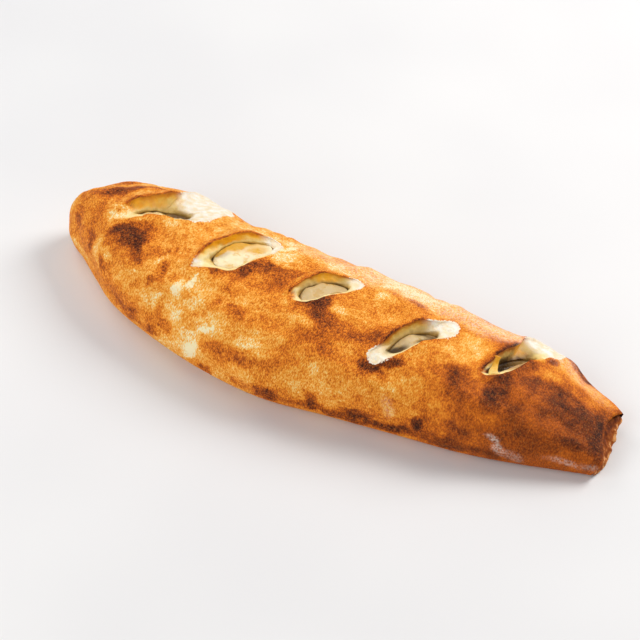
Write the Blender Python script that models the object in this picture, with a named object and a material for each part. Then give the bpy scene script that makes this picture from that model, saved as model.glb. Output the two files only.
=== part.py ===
"""A baked stromboli: a long crust of dough, slashed five times, over melted cheese.

The log lies along X, with its rounded end at -X and its pinched end at +X. Its front
is at -Y, it rests on Z = 0, and its origin is the middle of its footprint. All sizes
are in metres.

A place on the skin is written as (x, across): across is the distance round the skin
from the top line, more than 0 towards the back. Stations, slashes and windows are
placed from the middle of the log's slashes, and MIDDLE_X moves them to the origin.
"""

from collections import namedtuple
import math

import bmesh
import bpy
import numpy as np

# The outline of the log at stations along X: its front and back edges and its height.
Station = namedtuple("Station", "x front back base top")
STATIONS = [
    Station(-0.1790, 0.008, 0.008, 0.016, 0.0160),
    Station(-0.1765, 0.000, 0.015, 0.005, 0.0280),
    Station(-0.1690, -0.007, 0.024, 0.001, 0.0385),
    Station(-0.1560, -0.014, 0.035, 0.000, 0.0445),
    Station(-0.1370, -0.026, 0.046, 0.000, 0.0480),
    Station(-0.1120, -0.040, 0.052, 0.000, 0.0500),
    Station(-0.0750, -0.050, 0.051, 0.000, 0.0505),
    Station(-0.0350, -0.056, 0.050, 0.000, 0.0500),
    Station(0.0050, -0.056, 0.052, 0.000, 0.0500),
    Station(0.0450, -0.047, 0.053, 0.000, 0.0490),
    Station(0.0850, -0.038, 0.053, 0.000, 0.0470),
    Station(0.1200, -0.030, 0.055, 0.000, 0.0420),
    Station(0.1480, -0.020, 0.055, 0.000, 0.0340),
    Station(0.1700, -0.009, 0.048, 0.000, 0.0250),
    Station(0.1870, -0.002, 0.041, 0.000, 0.0150),
]
MIDDLE_X = 0.0069
MIDDLE_Y = -0.0012

# The section: widest at the belly, rounder above it than below, and flat underneath.
BELLY = 0.36
ROUND_ABOVE = 2.3
ROUND_BELOW = 4.0
FLAT_UNDER = 1.06
GIRTH = 0.262
TOP_LINE = 0.5

# The pinched end leans, so that its front corner reaches further along X.
END_LEAN = -0.19
END_LEAN_FROM = 0.145
END_LEAN_OVER = 0.042

# The torn face of the pinched end, as rings: how far along X, how far inside, and what
# share of the tongue's reach. The tongue is the low layer that sticks out at the back.
TORN_RINGS = [
    (0.0012, 0.0009, 0.0),
    (0.0004, 0.0024, 0.0),
    (-0.0030, 0.0031, 0.0),
    (-0.0016, 0.0038, 0.5),
    (0.0008, 0.0046, 1.0),
    (0.0014, 0.0056, 1.0),
]
TORN_CENTRE = 0.0006
TONGUE_REACH = 0.0045
TONGUE_FROM = 0.003
TONGUE_OVER = 0.020
TONGUE_LOW = 0.35

# The dough, the filling under it and the slack between the two.
CRUST = 0.0052
SLACK = 0.0004
CAVITY_FROM = -0.163
CAVITY_TO = 0.168
CAVITY_CAP = 0.004
FILLING_CAP = 0.003
CAP_MIDDLE = 0.6

# The mesh: cells along the log, rows round it, and the rings in the rounded end, and
# how finely the curves are sampled when a place on them is looked up.
CELL = 0.0081
ROWS = 28
DOME_RINGS = 5
DOME_STATIONS = 2
OUTLINE_SAMPLES = 2000
SECTION_SAMPLES = 721
LIP_SAMPLES = 41

# A slash in the crust: its middle, its angle to X, half its length, how far each of
# its lips lies from its line and how much further at the right end than at the middle,
# how high the lips stand, its hole, and the depth at which the cheese lies.
Slash = namedtuple(
    "Slash", "x across angle half back front back_skew front_skew back_lip front_lip hole cheese"
)
# The hole runs right through the crust, from one place to another along and aside of
# the slash's line, and past its ends the slash is a shallow trough.
Hole = namedtuple("Hole", "start end aside_start aside_end half")
SLASHES = [
    Slash(
        -0.1065, 0.0120, 52, 0.0420, 0.0065, 0.0160, 0.3, 0.6, 0.0050, 0.0012,
        Hole(-0.0270, 0.0090, -0.0025, -0.0100, 0.0032), 0.0090,
    ),
    Slash(
        -0.0455, 0.0030, 51, 0.0295, 0.0130, 0.0095, 0.1, -0.2, 0.0050, 0.0012,
        Hole(-0.0240, 0.0210, 0.0010, 0.0030, 0.0082), 0.0015,
    ),
    Slash(
        0.0115, 0.0055, 45, 0.0205, 0.0085, 0.0100, 0.0, -0.3, 0.0038, 0.0012,
        Hole(-0.0165, 0.0145, -0.0020, -0.0010, 0.0060), 0.0025,
    ),
    Slash(
        0.0730, -0.0070, 63, 0.0285, 0.0070, 0.0085, 0.0, 0.1, 0.0030, 0.0016,
        Hole(-0.0185, 0.0135, -0.0015, -0.0015, 0.0040), 0.0065,
    ),
    Slash(
        0.1280, 0.0170, 68, 0.0335, 0.0060, 0.0110, 0.1, 0.2, 0.0030, 0.0022,
        Hole(-0.0290, 0.0080, -0.0030, -0.0035, 0.0040), 0.0095,
    ),
]
MARGIN = 0.0070
LENS = 0.9
LIP_REACH = 0.0065
LIP_EASE = 2.0
LIP_ENDS = 4

# The rings round a slash. The cut edge runs from the lip to the hole: what share of
# the way there, and how deep. Towards the slash's ends it stays shallower.
SKIN_RINGS = 3
EDGE_RINGS = [(0.0, 0.0), (0.13, 0.0008), (0.55, 0.0028), (1.0, 0.0048)]
SHALLOW_ENDS = 0.55
LINING_SHARES = (0.85, 0.43)

# The cheese under a hole: the share of the hole's width and of its length that each
# ring keeps, and the share of the cheese's rise that it reaches.
CHEESE_RINGS = [(1.0, 1.0, 0.0), (0.80, 0.96, 0.35), (0.60, 0.92, 0.85)]
CHEESE_RIDGE = 0.86

# The low swells of the baked skin.
SWELL_HEIGHT = 0.0009
SWELL_WAVES = 9
SWELL_LENGTHS = (0.014, 0.045)
SWELL_FROM = 0.006
SWELL_FULL = 0.016
SEED = 11

CRUST_COLOUR = (0.52, 0.24, 0.07, 1.0)
CRUST_ROUGHNESS = 0.62
CHEESE_COLOUR = (0.80, 0.68, 0.36, 1.0)
CHEESE_ROUGHNESS = 0.38


def clear_scene():
    """Removes every object, so that the script can be run again."""
    for item in list(bpy.data.objects):
        bpy.data.objects.remove(item, do_unlink=True)


def smooth(value):
    """Eases 0..1 in and out."""
    value = np.clip(value, 0.0, 1.0)
    return value * value * (3.0 - 2.0 * value)


def outline_at(t):
    """Reads the outline at station numbers with fractions, on a curve through them."""
    rows = np.array(STATIONS)
    last = len(rows) - 1
    start = np.clip(np.floor(t).astype(int), 0, last - 1)
    f = (t - start)[..., None]
    before = rows[np.maximum(start - 1, 0)]
    left = rows[start]
    right = rows[start + 1]
    after = rows[np.minimum(start + 2, last)]
    bend = 2.0 * before - 5.0 * left + 4.0 * right - after
    twist = -before + 3.0 * left - 3.0 * right + after
    return 0.5 * (2.0 * left + (right - before) * f + bend * f**2 + twist * f**3)


def station_of(x):
    """Finds the station number, with its fraction, that lies at x."""
    t = np.linspace(0.0, len(STATIONS) - 1, OUTLINE_SAMPLES)
    return np.interp(x, outline_at(t)[:, 0], t)


def unit_section():
    """Makes the section's outline for a width of -1..1 and a height of 0..1."""
    angle = np.linspace(0.0, 2.0 * math.pi, SECTION_SAMPLES)
    aside = -np.sin(angle)
    up = -np.cos(angle)
    power = 2.0 / np.where(up >= 0.0, ROUND_ABOVE, ROUND_BELOW)
    width = np.sign(aside) * np.abs(aside) ** power
    rise = BELLY + (1.0 - BELLY) * np.abs(up) ** power
    fall = BELLY * (1.0 - np.minimum(1.0, FLAT_UNDER * np.abs(up) ** power))
    height = np.where(up >= 0.0, rise, fall)
    steps = np.hypot(np.diff(width), np.diff(height))
    share = np.concatenate([[0.0], np.cumsum(steps)]) / steps.sum()
    return share, width, height


def smooth_skin(t, share, depth):
    """Gives points at a depth below the plain skin, at a share of the way round it.

    Share 0 is underneath, a quarter is the front and a half is the top.
    """
    x, front, back, base, top = np.moveaxis(outline_at(t), -1, 0)
    around, width, height = unit_section()
    middle = (front + back) / 2.0
    half = np.maximum((back - front) / 2.0 - depth, 0.0)
    base = np.maximum(base, 0.0) + np.maximum(depth, 0.0)
    y = middle + half * np.interp(share, around, width)
    z = base + np.maximum(top - depth - base, 0.0) * np.interp(share, around, height)
    lean = END_LEAN * smooth((x - END_LEAN_FROM) / END_LEAN_OVER)
    return np.stack([x + lean * (y - middle) - MIDDLE_X, y - MIDDLE_Y, z], axis=-1)


def swell(place):
    """Gives the low swells of the skin at each place, from seeded waves."""
    random = np.random.default_rng(SEED)
    total = np.zeros(place.shape[:-1])
    for _ in range(SWELL_WAVES):
        direction = random.normal(size=3)
        direction /= np.linalg.norm(direction)
        length = random.uniform(*SWELL_LENGTHS)
        phase = random.uniform(0.0, 2.0 * math.pi)
        total += np.sin(place @ direction * 2.0 * math.pi / length + phase)
    above = smooth((place[..., 2] - SWELL_FROM) / (SWELL_FULL - SWELL_FROM))
    return SWELL_HEIGHT * total / math.sqrt(SWELL_WAVES) * above


def baked_skin(t, share, depth, lip=0.0):
    """Gives points in the crust, at a depth below its swollen and raised skin."""
    swollen = swell(smooth_skin(t, share, 0.0)) * smooth(t / DOME_STATIONS)
    rise = (swollen + lip) * (1.0 - depth / CRUST)
    return smooth_skin(t, share, depth - rise)


class Body:
    """The corners and faces of one closed body while it is being made."""

    def __init__(self):
        self.mesh = bmesh.new()

    def add(self, points):
        """Adds corners and returns them in the points' own layout."""
        flat = points.reshape(-1, 3)
        corners = np.empty(len(flat), dtype=object)
        for number, point in enumerate(flat):
            corners[number] = self.mesh.verts.new(point)
        return corners.reshape(points.shape[:-1])

    def bridge(self, ring, following):
        """Joins two rings of as many corners."""
        count = len(ring)
        for k in range(count):
            n = (k + 1) % count
            self.mesh.faces.new((ring[k], ring[n], following[n], following[k]))

    def close(self, ring, point):
        """Closes a ring with a fan to a point."""
        tip = self.mesh.verts.new(point)
        for k in range(len(ring)):
            self.mesh.faces.new((ring[k], ring[(k + 1) % len(ring)], tip))

    def grid(self, corners, windows, first, last):
        """Joins columns first to last round the log, and leaves the windows open."""
        for i in range(first, last):
            for j in range(ROWS):
                if not any(window.holds(i, j) for window in windows):
                    n = (j + 1) % ROWS
                    cell = (corners[i, j], corners[i + 1, j], corners[i + 1, n], corners[i, n])
                    self.mesh.faces.new(cell)

    def finish(self, name, surface):
        """Turns the body into an object with smooth faces that point out."""
        loose = [corner for corner in self.mesh.verts if not corner.link_faces]
        bmesh.ops.delete(self.mesh, geom=loose, context="VERTS")
        bmesh.ops.triangulate(self.mesh, faces=self.mesh.faces[:])
        bmesh.ops.recalc_face_normals(self.mesh, faces=self.mesh.faces[:])
        data = bpy.data.meshes.new(name)
        self.mesh.to_mesh(data)
        self.mesh.free()
        data.shade_smooth()
        data.materials.append(surface)
        bpy.context.scene.collection.objects.link(bpy.data.objects.new(name, data))


class Window:
    """The part of the grid that gives way to one slash and to the rings round it."""

    def __init__(self, slash, stations):
        self.slash = slash
        self.angle = math.radians(slash.angle)
        columns = outline_at(stations)[:, 0]
        along = np.linspace(-1.0, 1.0, LIP_SAMPLES)
        x, across = np.concatenate([self.lip(along, -1.0), self.lip(along, 1.0)], axis=1)
        self.left = int(np.abs(columns - x.min() + MARGIN).argmin())
        self.right = int(np.abs(columns - x.max() - MARGIN).argmin())
        self.low = round((TOP_LINE + (across.min() - MARGIN) / GIRTH) * ROWS)
        self.high = round((TOP_LINE + (across.max() + MARGIN) / GIRTH) * ROWS)

        rim = np.array(self.rim())
        self.x = columns[rim[:, 0]]
        self.across = (rim[:, 1] / ROWS - TOP_LINE) * GIRTH
        half = len(rim) // 2
        there = np.linspace(-1.0, 1.0, half + 1)
        self.along = np.concatenate([there[:-1], there[:0:-1]])
        self.side = np.where(np.arange(len(rim)) <= half, -1.0, 1.0)
        height = np.where(self.side < 0.0, slash.front_lip, slash.back_lip)
        self.lip_height = height * (1.0 - np.abs(self.along) ** LIP_ENDS)

    def holds(self, i, j):
        """Says whether the cell at column i and row j lies in the window."""
        return self.left <= i < self.right and self.low <= j < self.high

    def rim(self):
        """Lists the grid places round the window, from its front left corner."""
        front = [(i, self.low) for i in range(self.left, self.right)]
        right = [(self.right, j) for j in range(self.low, self.high)]
        back = [(i, self.high) for i in range(self.right, self.left, -1)]
        left = [(self.left, j) for j in range(self.high, self.low, -1)]
        return front + right + back + left

    def corners(self, grid):
        """Picks the rim's corners out of a grid."""
        return np.array([grid[i, j] for i, j in self.rim()], dtype=object)

    def place(self, run, aside):
        """Turns a place along and aside of the slash's line into x and across."""
        x = self.slash.x + run * math.cos(self.angle) - aside * math.sin(self.angle)
        across = self.slash.across + run * math.sin(self.angle) + aside * math.cos(self.angle)
        return np.array([x, across])

    def lip(self, along, side):
        """Gives x and across of a lip at places -1..1 along the slash."""
        wide = np.where(side < 0.0, self.slash.front, self.slash.back)
        skew = np.where(side < 0.0, self.slash.front_skew, self.slash.back_skew)
        aside = side * wide * (1.0 + skew * along) * (1.0 - along**2) ** LENS
        return self.place(along * self.slash.half, aside)

    def hole(self, along, side, kept=1.0):
        """Gives x and across of the hole's edge, or of a share of its half width."""
        hole = self.slash.hole
        run = hole.start + (hole.end - hole.start) * (along + 1.0) / 2.0
        line = hole.aside_start + (hole.aside_end - hole.aside_start) * (along + 1.0) / 2.0
        return self.place(run, line + side * kept * hole.half * (1.0 - along**2) ** LENS)

    def edge(self, share):
        """Gives x and across on the cut edge, at a share of the way from lip to hole."""
        lip = self.lip(self.along, self.side)
        return lip + (self.hole(self.along, self.side) - lip) * share

    def around(self, ring, share):
        """Gives x and across at a share of the way from the rim to a ring."""
        rim = np.array([self.x, self.across])
        return rim + (ring - rim) * share


def grid_points(stations, surface, depth):
    """Gives the points of the whole grid on a surface at a depth."""
    t, share = np.meshgrid(stations, np.arange(ROWS) / ROWS, indexing="ij")
    return surface(t, share, depth)


def ring_points(place, surface, depth, **options):
    """Gives the points of a ring on a surface at a depth."""
    x, across = place
    return surface(station_of(x), TOP_LINE + across / GIRTH, depth, **options)


def log_stations():
    """Gives the stations of the grid's columns, closer together in the rounded end."""
    dome = np.linspace(0.0, DOME_STATIONS, DOME_RINGS + 1)[1:]
    start = STATIONS[DOME_STATIONS].x
    end = STATIONS[-1].x
    columns = np.linspace(start, end, round((end - start) / CELL) + 1)
    return np.concatenate([dome, station_of(columns[1:])])


def cavity_columns(stations):
    """Gives the first and the last of the grid's columns that lie in the cavity."""
    x = outline_at(stations)[:, 0]
    return int(np.argmax(x > CAVITY_FROM)), int(np.argmax(x > CAVITY_TO)) - 1


def add_ring(body, ring, points):
    """Adds a ring of points, joins it to the one before and returns its corners."""
    following = body.add(points)
    body.bridge(ring, following)
    return following


def cap_end(body, corners, points, reach):
    """Closes an end of the cavity or of the filling with a low round cap."""
    centre = points.mean(axis=0)
    forward = np.array([reach, 0.0, 0.0])
    middle = centre + (points - centre) * CAP_MIDDLE + forward * (1.0 - CAP_MIDDLE**2)
    ring = add_ring(body, corners, middle)
    body.close(ring, centre + forward)


def inner_grid(body, stations, windows, depth, reach):
    """Adds the grid that lines the cavity, or that skins the filling, with its caps."""
    first, last = cavity_columns(stations)
    points = grid_points(stations, smooth_skin, depth)
    corners = body.add(points)
    body.grid(corners, windows, first, last)
    cap_end(body, corners[first], points[first], -reach)
    cap_end(body, corners[last], points[last], reach)
    return corners


def tear_end(body, ring):
    """Closes the pinched end with its torn face: a rolled edge, a crease and a tongue."""
    end = np.full(ROWS, len(STATIONS) - 1.0)
    share = np.arange(ROWS) / ROWS
    for forward, inward, tongue in TORN_RINGS:
        points = smooth_skin(end, share, inward)
        back = smooth((points[:, 1] - TONGUE_FROM) / TONGUE_OVER)
        points[:, 0] += forward + tongue * TONGUE_REACH * back
        points[:, 2] *= 1.0 - tongue * TONGUE_LOW
        ring = add_ring(body, ring, points)
    centre = points.mean(axis=0)
    centre[0] += TORN_CENTRE
    body.close(ring, centre)


def cut_slash(body, window, outer, inner):
    """Makes one slash: its raised lips, its cut edge and the lining under them."""
    ring = window.corners(outer)
    lips = window.edge(0.0)
    reach = np.hypot(*(lips - (window.x, window.across)))
    for step in range(1, SKIN_RINGS):
        share = step / SKIN_RINGS
        fall = np.exp(-((reach * (1.0 - share) / LIP_REACH) ** 2)) * smooth(LIP_EASE * share)
        place = window.around(lips, share)
        points = ring_points(place, baked_skin, 0.0, lip=window.lip_height * fall)
        ring = add_ring(body, ring, points)
    for share, depth in EDGE_RINGS:
        shallow = 1.0 if share == 1.0 else 1.0 - SHALLOW_ENDS * window.along**2
        place = window.edge(share)
        points = ring_points(place, baked_skin, depth * shallow, lip=window.lip_height)
        ring = add_ring(body, ring, points)
    for share in LINING_SHARES:
        place = window.around(window.edge(1.0), share)
        ring = add_ring(body, ring, ring_points(place, smooth_skin, CRUST))
    body.bridge(ring, window.corners(inner))


def fill_slash(body, window, skin):
    """Makes the cheese under one slash, up to a ridge along its hole's middle."""
    depth = CRUST + SLACK
    rise = (depth - window.slash.cheese) * (1.0 - window.along**2)
    ring = window.corners(skin)
    for share in reversed(LINING_SHARES):
        place = window.around(window.edge(1.0), share)
        ring = add_ring(body, ring, ring_points(place, smooth_skin, depth))
    for kept, length, level in CHEESE_RINGS:
        place = window.hole(window.along * length, window.side, kept)
        ring = add_ring(body, ring, ring_points(place, smooth_skin, depth - rise * level))
    half = len(window.along) // 2
    place = window.hole(window.along[: half + 1] * CHEESE_RIDGE, 0.0)
    ridge = body.add(ring_points(place, smooth_skin, depth - rise[: half + 1]))
    body.bridge(ring, np.concatenate([ridge, ridge[-2:0:-1]]))


def make_crust(stations, windows):
    """Makes the crust: its skin, its two ends, its slashes and its lining."""
    body = Body()
    outer = body.add(grid_points(stations, baked_skin, 0.0))
    body.grid(outer, windows, 0, len(stations) - 1)
    body.close(outer[0], smooth_skin(np.zeros(1), 0.0, 0.0)[0])
    tear_end(body, outer[-1])
    inner = inner_grid(body, stations, windows, CRUST, CAVITY_CAP)
    for window in windows:
        cut_slash(body, window, outer, inner)
    body.finish("crust", make_material("baked crust", CRUST_COLOUR, CRUST_ROUGHNESS))


def make_filling(stations, windows):
    """Makes the melted filling that runs through the log."""
    body = Body()
    skin = inner_grid(body, stations, windows, CRUST + SLACK, FILLING_CAP)
    for window in windows:
        fill_slash(body, window, skin)
    body.finish("filling", make_material("melted cheese", CHEESE_COLOUR, CHEESE_ROUGHNESS))


def make_material(name, colour, roughness):
    """Makes a plain material."""
    made = bpy.data.materials.new(name)
    made.use_nodes = True
    shader = made.node_tree.nodes["Principled BSDF"]
    shader.inputs["Base Color"].default_value = colour
    shader.inputs["Roughness"].default_value = roughness
    shader.inputs["Metallic"].default_value = 0.0
    return made


def main():
    """Makes the stromboli."""
    clear_scene()
    stations = log_stations()
    windows = [Window(slash, stations) for slash in SLASHES]
    make_crust(stations, windows)
    make_filling(stations, windows)


main()
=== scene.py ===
"""A baked stromboli, dressed for its picture: crust, cut dough and melted cheese.

The log lies along X, rounded at -X and pinched and torn at +X, with its front at -Y,
and it rests on Z = 0. A place on its skin is (x, across): x is measured from the middle
of the slashes, and across is the distance round the skin from the top line, more than 0
towards the back. Sizes are in metres, and the main ones repeat those of the solids.
"""

import itertools
import logging
import math
from collections.abc import Callable
from dataclasses import dataclass, field
from enum import Enum
from functools import cached_property

import bmesh
import bpy
import numpy as np
from mathutils import Matrix, Vector


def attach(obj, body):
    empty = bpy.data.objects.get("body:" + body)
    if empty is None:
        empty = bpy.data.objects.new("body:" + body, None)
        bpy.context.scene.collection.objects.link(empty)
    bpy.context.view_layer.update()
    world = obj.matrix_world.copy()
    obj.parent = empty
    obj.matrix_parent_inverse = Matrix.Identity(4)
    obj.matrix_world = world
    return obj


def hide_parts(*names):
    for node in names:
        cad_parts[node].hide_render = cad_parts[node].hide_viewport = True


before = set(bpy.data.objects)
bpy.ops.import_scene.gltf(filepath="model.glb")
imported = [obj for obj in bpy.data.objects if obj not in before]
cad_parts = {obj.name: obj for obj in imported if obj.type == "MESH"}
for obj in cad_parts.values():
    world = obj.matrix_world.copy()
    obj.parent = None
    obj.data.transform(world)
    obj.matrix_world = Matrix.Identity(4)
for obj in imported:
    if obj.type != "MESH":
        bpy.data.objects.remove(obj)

Array = np.ndarray
Reading = np.ndarray | float
Colour = tuple[float, float, float, float]
Knots = tuple[tuple[float, ...], ...]
Stops = tuple[tuple[float, Colour], ...]
Span = tuple[float, float]
Socket = bpy.types.NodeSocket
Inputs = dict[str | int, object]
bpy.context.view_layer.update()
MM = 0.001
SCREEN_WHITE = 255.0
SCREEN_GAMMA = 2.2
LOG = logging.getLogger("stromboli")


def paint(red: int, green: int, blue: int) -> Colour:
    """Turns a screen's colour into a linear one: each share to the screen's power."""
    return (*((share / SCREEN_WHITE) ** SCREEN_GAMMA for share in (red, green, blue)), 1.0)


def stops(*rows: tuple[float, int, int, int]) -> Stops:
    """Makes a colour ramp's stops from rows of place, red, green and blue."""
    return tuple((at, paint(*shares)) for at, *shares in rows)


def smooth(value: Array) -> Array:
    """Eases 0..1 in and out: three times its square less twice its cube."""
    value = np.clip(value, 0.0, 1.0)
    return value * value * (3.0 - 2.0 * value)


def blend(start: Array, end: Array, share: Array) -> Array:
    """Blends two rings, each given as rows of its values, at a column of shares."""
    return start[:, None] + (end - start)[:, None] * share


def curve(knots: Knots, share: Array) -> Array:
    """Reads a smooth curve through knots at shares of its length.

    Between two knots it is a Hermite blend, whose slopes are those of the neighbours.

    Args:
        knots: The knots, whose first two values are the place.
        share: Where to read it, from 0 to 1.

    Returns:
        The values at each share, along a new last axis.
    """
    rows = np.array(knots)
    steps = np.linalg.norm(np.diff(rows[:, :2], axis=0), axis=1)
    at = np.concatenate([[0.0], np.cumsum(steps)]) / steps.sum()
    slope = np.gradient(rows, at, axis=0)
    start = np.clip(np.searchsorted(at, share, side="right") - 1, 0, len(at) - 2)
    width = (at[start + 1] - at[start])[..., None]
    f = (share[..., None] - at[start][..., None]) / width
    leaving = (1.0 + 2.0 * f) * (1.0 - f) ** 2 * rows[start] + f * (1.0 - f) ** 2 * width * slope[start]
    coming = f**2 * (3.0 - 2.0 * f) * rows[start + 1] + f**2 * (f - 1.0) * width * slope[start + 1]
    return leaving + coming


def stand(name: str, data: bpy.types.ID) -> bpy.types.Object:
    """Makes an object at the origin and puts it in the scene.

    Args:
        name: Its name.
        data: Its mesh, light or camera.

    Returns:
        The object.
    """
    made = bpy.data.objects.new(name, data)
    bpy.context.scene.collection.objects.link(made)
    return made


@dataclass(frozen=True)
class Waves:
    """Low swells: a sum of plane waves whose directions and lengths are seeded."""

    height: float
    count: int
    shortest: float
    longest: float
    seed: int

    def at(self, place: Array) -> Array:
        """Gives the height of the swells at each place.

        Args:
            place: Points along the last axis.

        Returns:
            The sum of the waves' sines, over the square root of how many they are.
        """
        random = np.random.default_rng(self.seed)
        total = np.zeros(place.shape[:-1])
        for _ in range(self.count):
            direction = random.normal(size=3)
            direction /= np.linalg.norm(direction)
            length = random.uniform(self.shortest, self.longest)
            phase = random.uniform(0.0, 2.0 * math.pi)
            total += np.sin(place @ direction * 2.0 * math.pi / length + phase)
        return self.height * total / math.sqrt(self.count)


@dataclass(frozen=True)
class Lumps:
    """Soft lumps: random heights at the corners of a lattice, blended in between."""

    height: float
    size: float
    seed: int
    corners: int = 48

    def at(self, place: Array) -> Array:
        """Gives the height of the lumps at each place.

        Args:
            place: Points along the last axis.

        Returns:
            The eight nearest corners' heights, each weighted by its eased nearness.
        """
        random = np.random.default_rng(self.seed)
        heights = random.uniform(-1.0, 1.0, (self.corners,) * 3)
        cell = np.floor(place / self.size).astype(int)
        part = smooth(place / self.size - cell)
        total = np.zeros(place.shape[:-1])
        for corner in itertools.product((0, 1), repeat=3):
            weight = np.prod(np.where(corner, part, 1.0 - part), axis=-1)
            i, j, k = np.moveaxis((cell + np.array(corner)) % self.corners, -1, 0)
            total += weight * heights[i, j, k]
        return self.height * total


@dataclass
class LogForm:
    """The plain form of the log, the same as that of the solids.

    Each station holds x and the log's front edge, back edge, base and top there.
    """

    stations: Knots = (
        (-0.179, 0.008, 0.008, 0.016, 0.016), (-0.1765, 0, 0.015, 0.005, 0.028),
        (-0.169, -0.007, 0.024, 0.001, 0.0385), (-0.156, -0.014, 0.035, 0, 0.0445),
        (-0.137, -0.026, 0.046, 0, 0.048), (-0.112, -0.04, 0.052, 0, 0.05),
        (-0.075, -0.05, 0.051, 0, 0.0505), (-0.035, -0.056, 0.05, 0, 0.05), (0.005, -0.056, 0.052, 0, 0.05),
        (0.045, -0.047, 0.053, 0, 0.049), (0.085, -0.038, 0.053, 0, 0.047), (0.12, -0.03, 0.055, 0, 0.042),
        (0.148, -0.02, 0.055, 0, 0.034), (0.17, -0.009, 0.048, 0, 0.025), (0.187, -0.002, 0.041, 0, 0.015),
    )
    middle_x: float = 0.0069
    middle_y: float = -0.0012
    belly: float = 0.36
    round_above: float = 2.3
    round_below: float = 4.0
    flat_under: float = 1.06
    girth: float = 0.262
    top_line: float = 0.5
    end_lean: float = -0.19
    end_lean_from: float = 0.145
    end_lean_over: float = 0.042
    samples: int = 2000
    section_samples: int = 721

    @cached_property
    def section(self) -> tuple[Array, Array, Array]:
        """The section for a width of -1..1 and a height of 0..1, by share of its length.

        It is a rounded square: sine and cosine raised to two over its roundness, which
        differs above and below the belly, and cut off flat underneath.
        """
        angle = np.linspace(0.0, 2.0 * math.pi, self.section_samples)
        aside = -np.sin(angle)
        up = -np.cos(angle)
        power = 2.0 / np.where(up >= 0.0, self.round_above, self.round_below)
        width = np.sign(aside) * np.abs(aside) ** power
        rise = self.belly + (1.0 - self.belly) * np.abs(up) ** power
        fall = self.belly * (1.0 - np.minimum(1.0, self.flat_under * np.abs(up) ** power))
        height = np.where(up >= 0.0, rise, fall)
        steps = np.hypot(np.diff(width), np.diff(height))
        return np.concatenate([[0.0], np.cumsum(steps)]) / steps.sum(), width, height

    def outline_at(self, t: Array) -> Array:
        """Reads the outline at station numbers with fractions.

        Args:
            t: The station numbers, from 0.

        Returns:
            x, front, back, base and top on a curve through the stations, each a cubic
            of the fraction whose slopes are half the step between the neighbours.
        """
        rows = np.array(self.stations)
        last = len(rows) - 1
        start = np.clip(np.floor(t).astype(int), 0, last - 1)
        f = (t - start)[..., None]
        before = rows[np.maximum(start - 1, 0)]
        left = rows[start]
        right = rows[start + 1]
        after = rows[np.minimum(start + 2, last)]
        bend = 2.0 * before - 5.0 * left + 4.0 * right - after
        twist = -before + 3.0 * left - 3.0 * right + after
        return 0.5 * (2.0 * left + (right - before) * f + bend * f**2 + twist * f**3)

    def station_of(self, x: Array) -> Array:
        """Finds the station number, with its fraction, that lies at x."""
        t = np.linspace(0.0, len(self.stations) - 1, self.samples)
        return np.interp(x, self.outline_at(t)[:, 0], t)

    def share_of(self, across: Array) -> Array:
        """Turns a distance round the skin from the top line into a share of the way."""
        return self.top_line + across / self.girth

    def across_of(self, share: Array) -> Array:
        """Turns a share of the way round the skin into a distance from the top line."""
        return (share - self.top_line) * self.girth

    def skin(self, t: Array, share: Reading, depth: Reading) -> Array:
        """Gives points at a depth below the plain skin.

        The section is stretched to the outline's width and height, both less the depth.

        Args:
            t: Station numbers with fractions.
            share: The share of the way round: 0 underneath, a quarter the front.
            depth: How far below the skin, or less than 0 above it.

        Returns:
            The points, with the pinched end leaning.
        """
        x, front, back, base, top = np.moveaxis(self.outline_at(t), -1, 0)
        around, width, height = self.section
        middle = (front + back) / 2.0
        half = np.maximum((back - front) / 2.0 - depth, 0.0)
        base = np.maximum(base, 0.0) + np.maximum(depth, 0.0)
        y = middle + half * np.interp(share, around, width)
        z = base + np.maximum(top - depth - base, 0.0) * np.interp(share, around, height)
        lean = self.end_lean * smooth((x - self.end_lean_from) / self.end_lean_over)
        return np.stack([x + lean * (y - middle) - self.middle_x, y - self.middle_y, z], axis=-1)

    def under(self, x: Array, across: Array, depth: Reading) -> Array:
        """Gives points at a depth below the plain skin, from x and across."""
        return self.skin(self.station_of(x), self.share_of(across), depth)


class Side(Enum):
    """The two sides of a slash."""

    FRONT = "front"
    BACK = "back"


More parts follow.
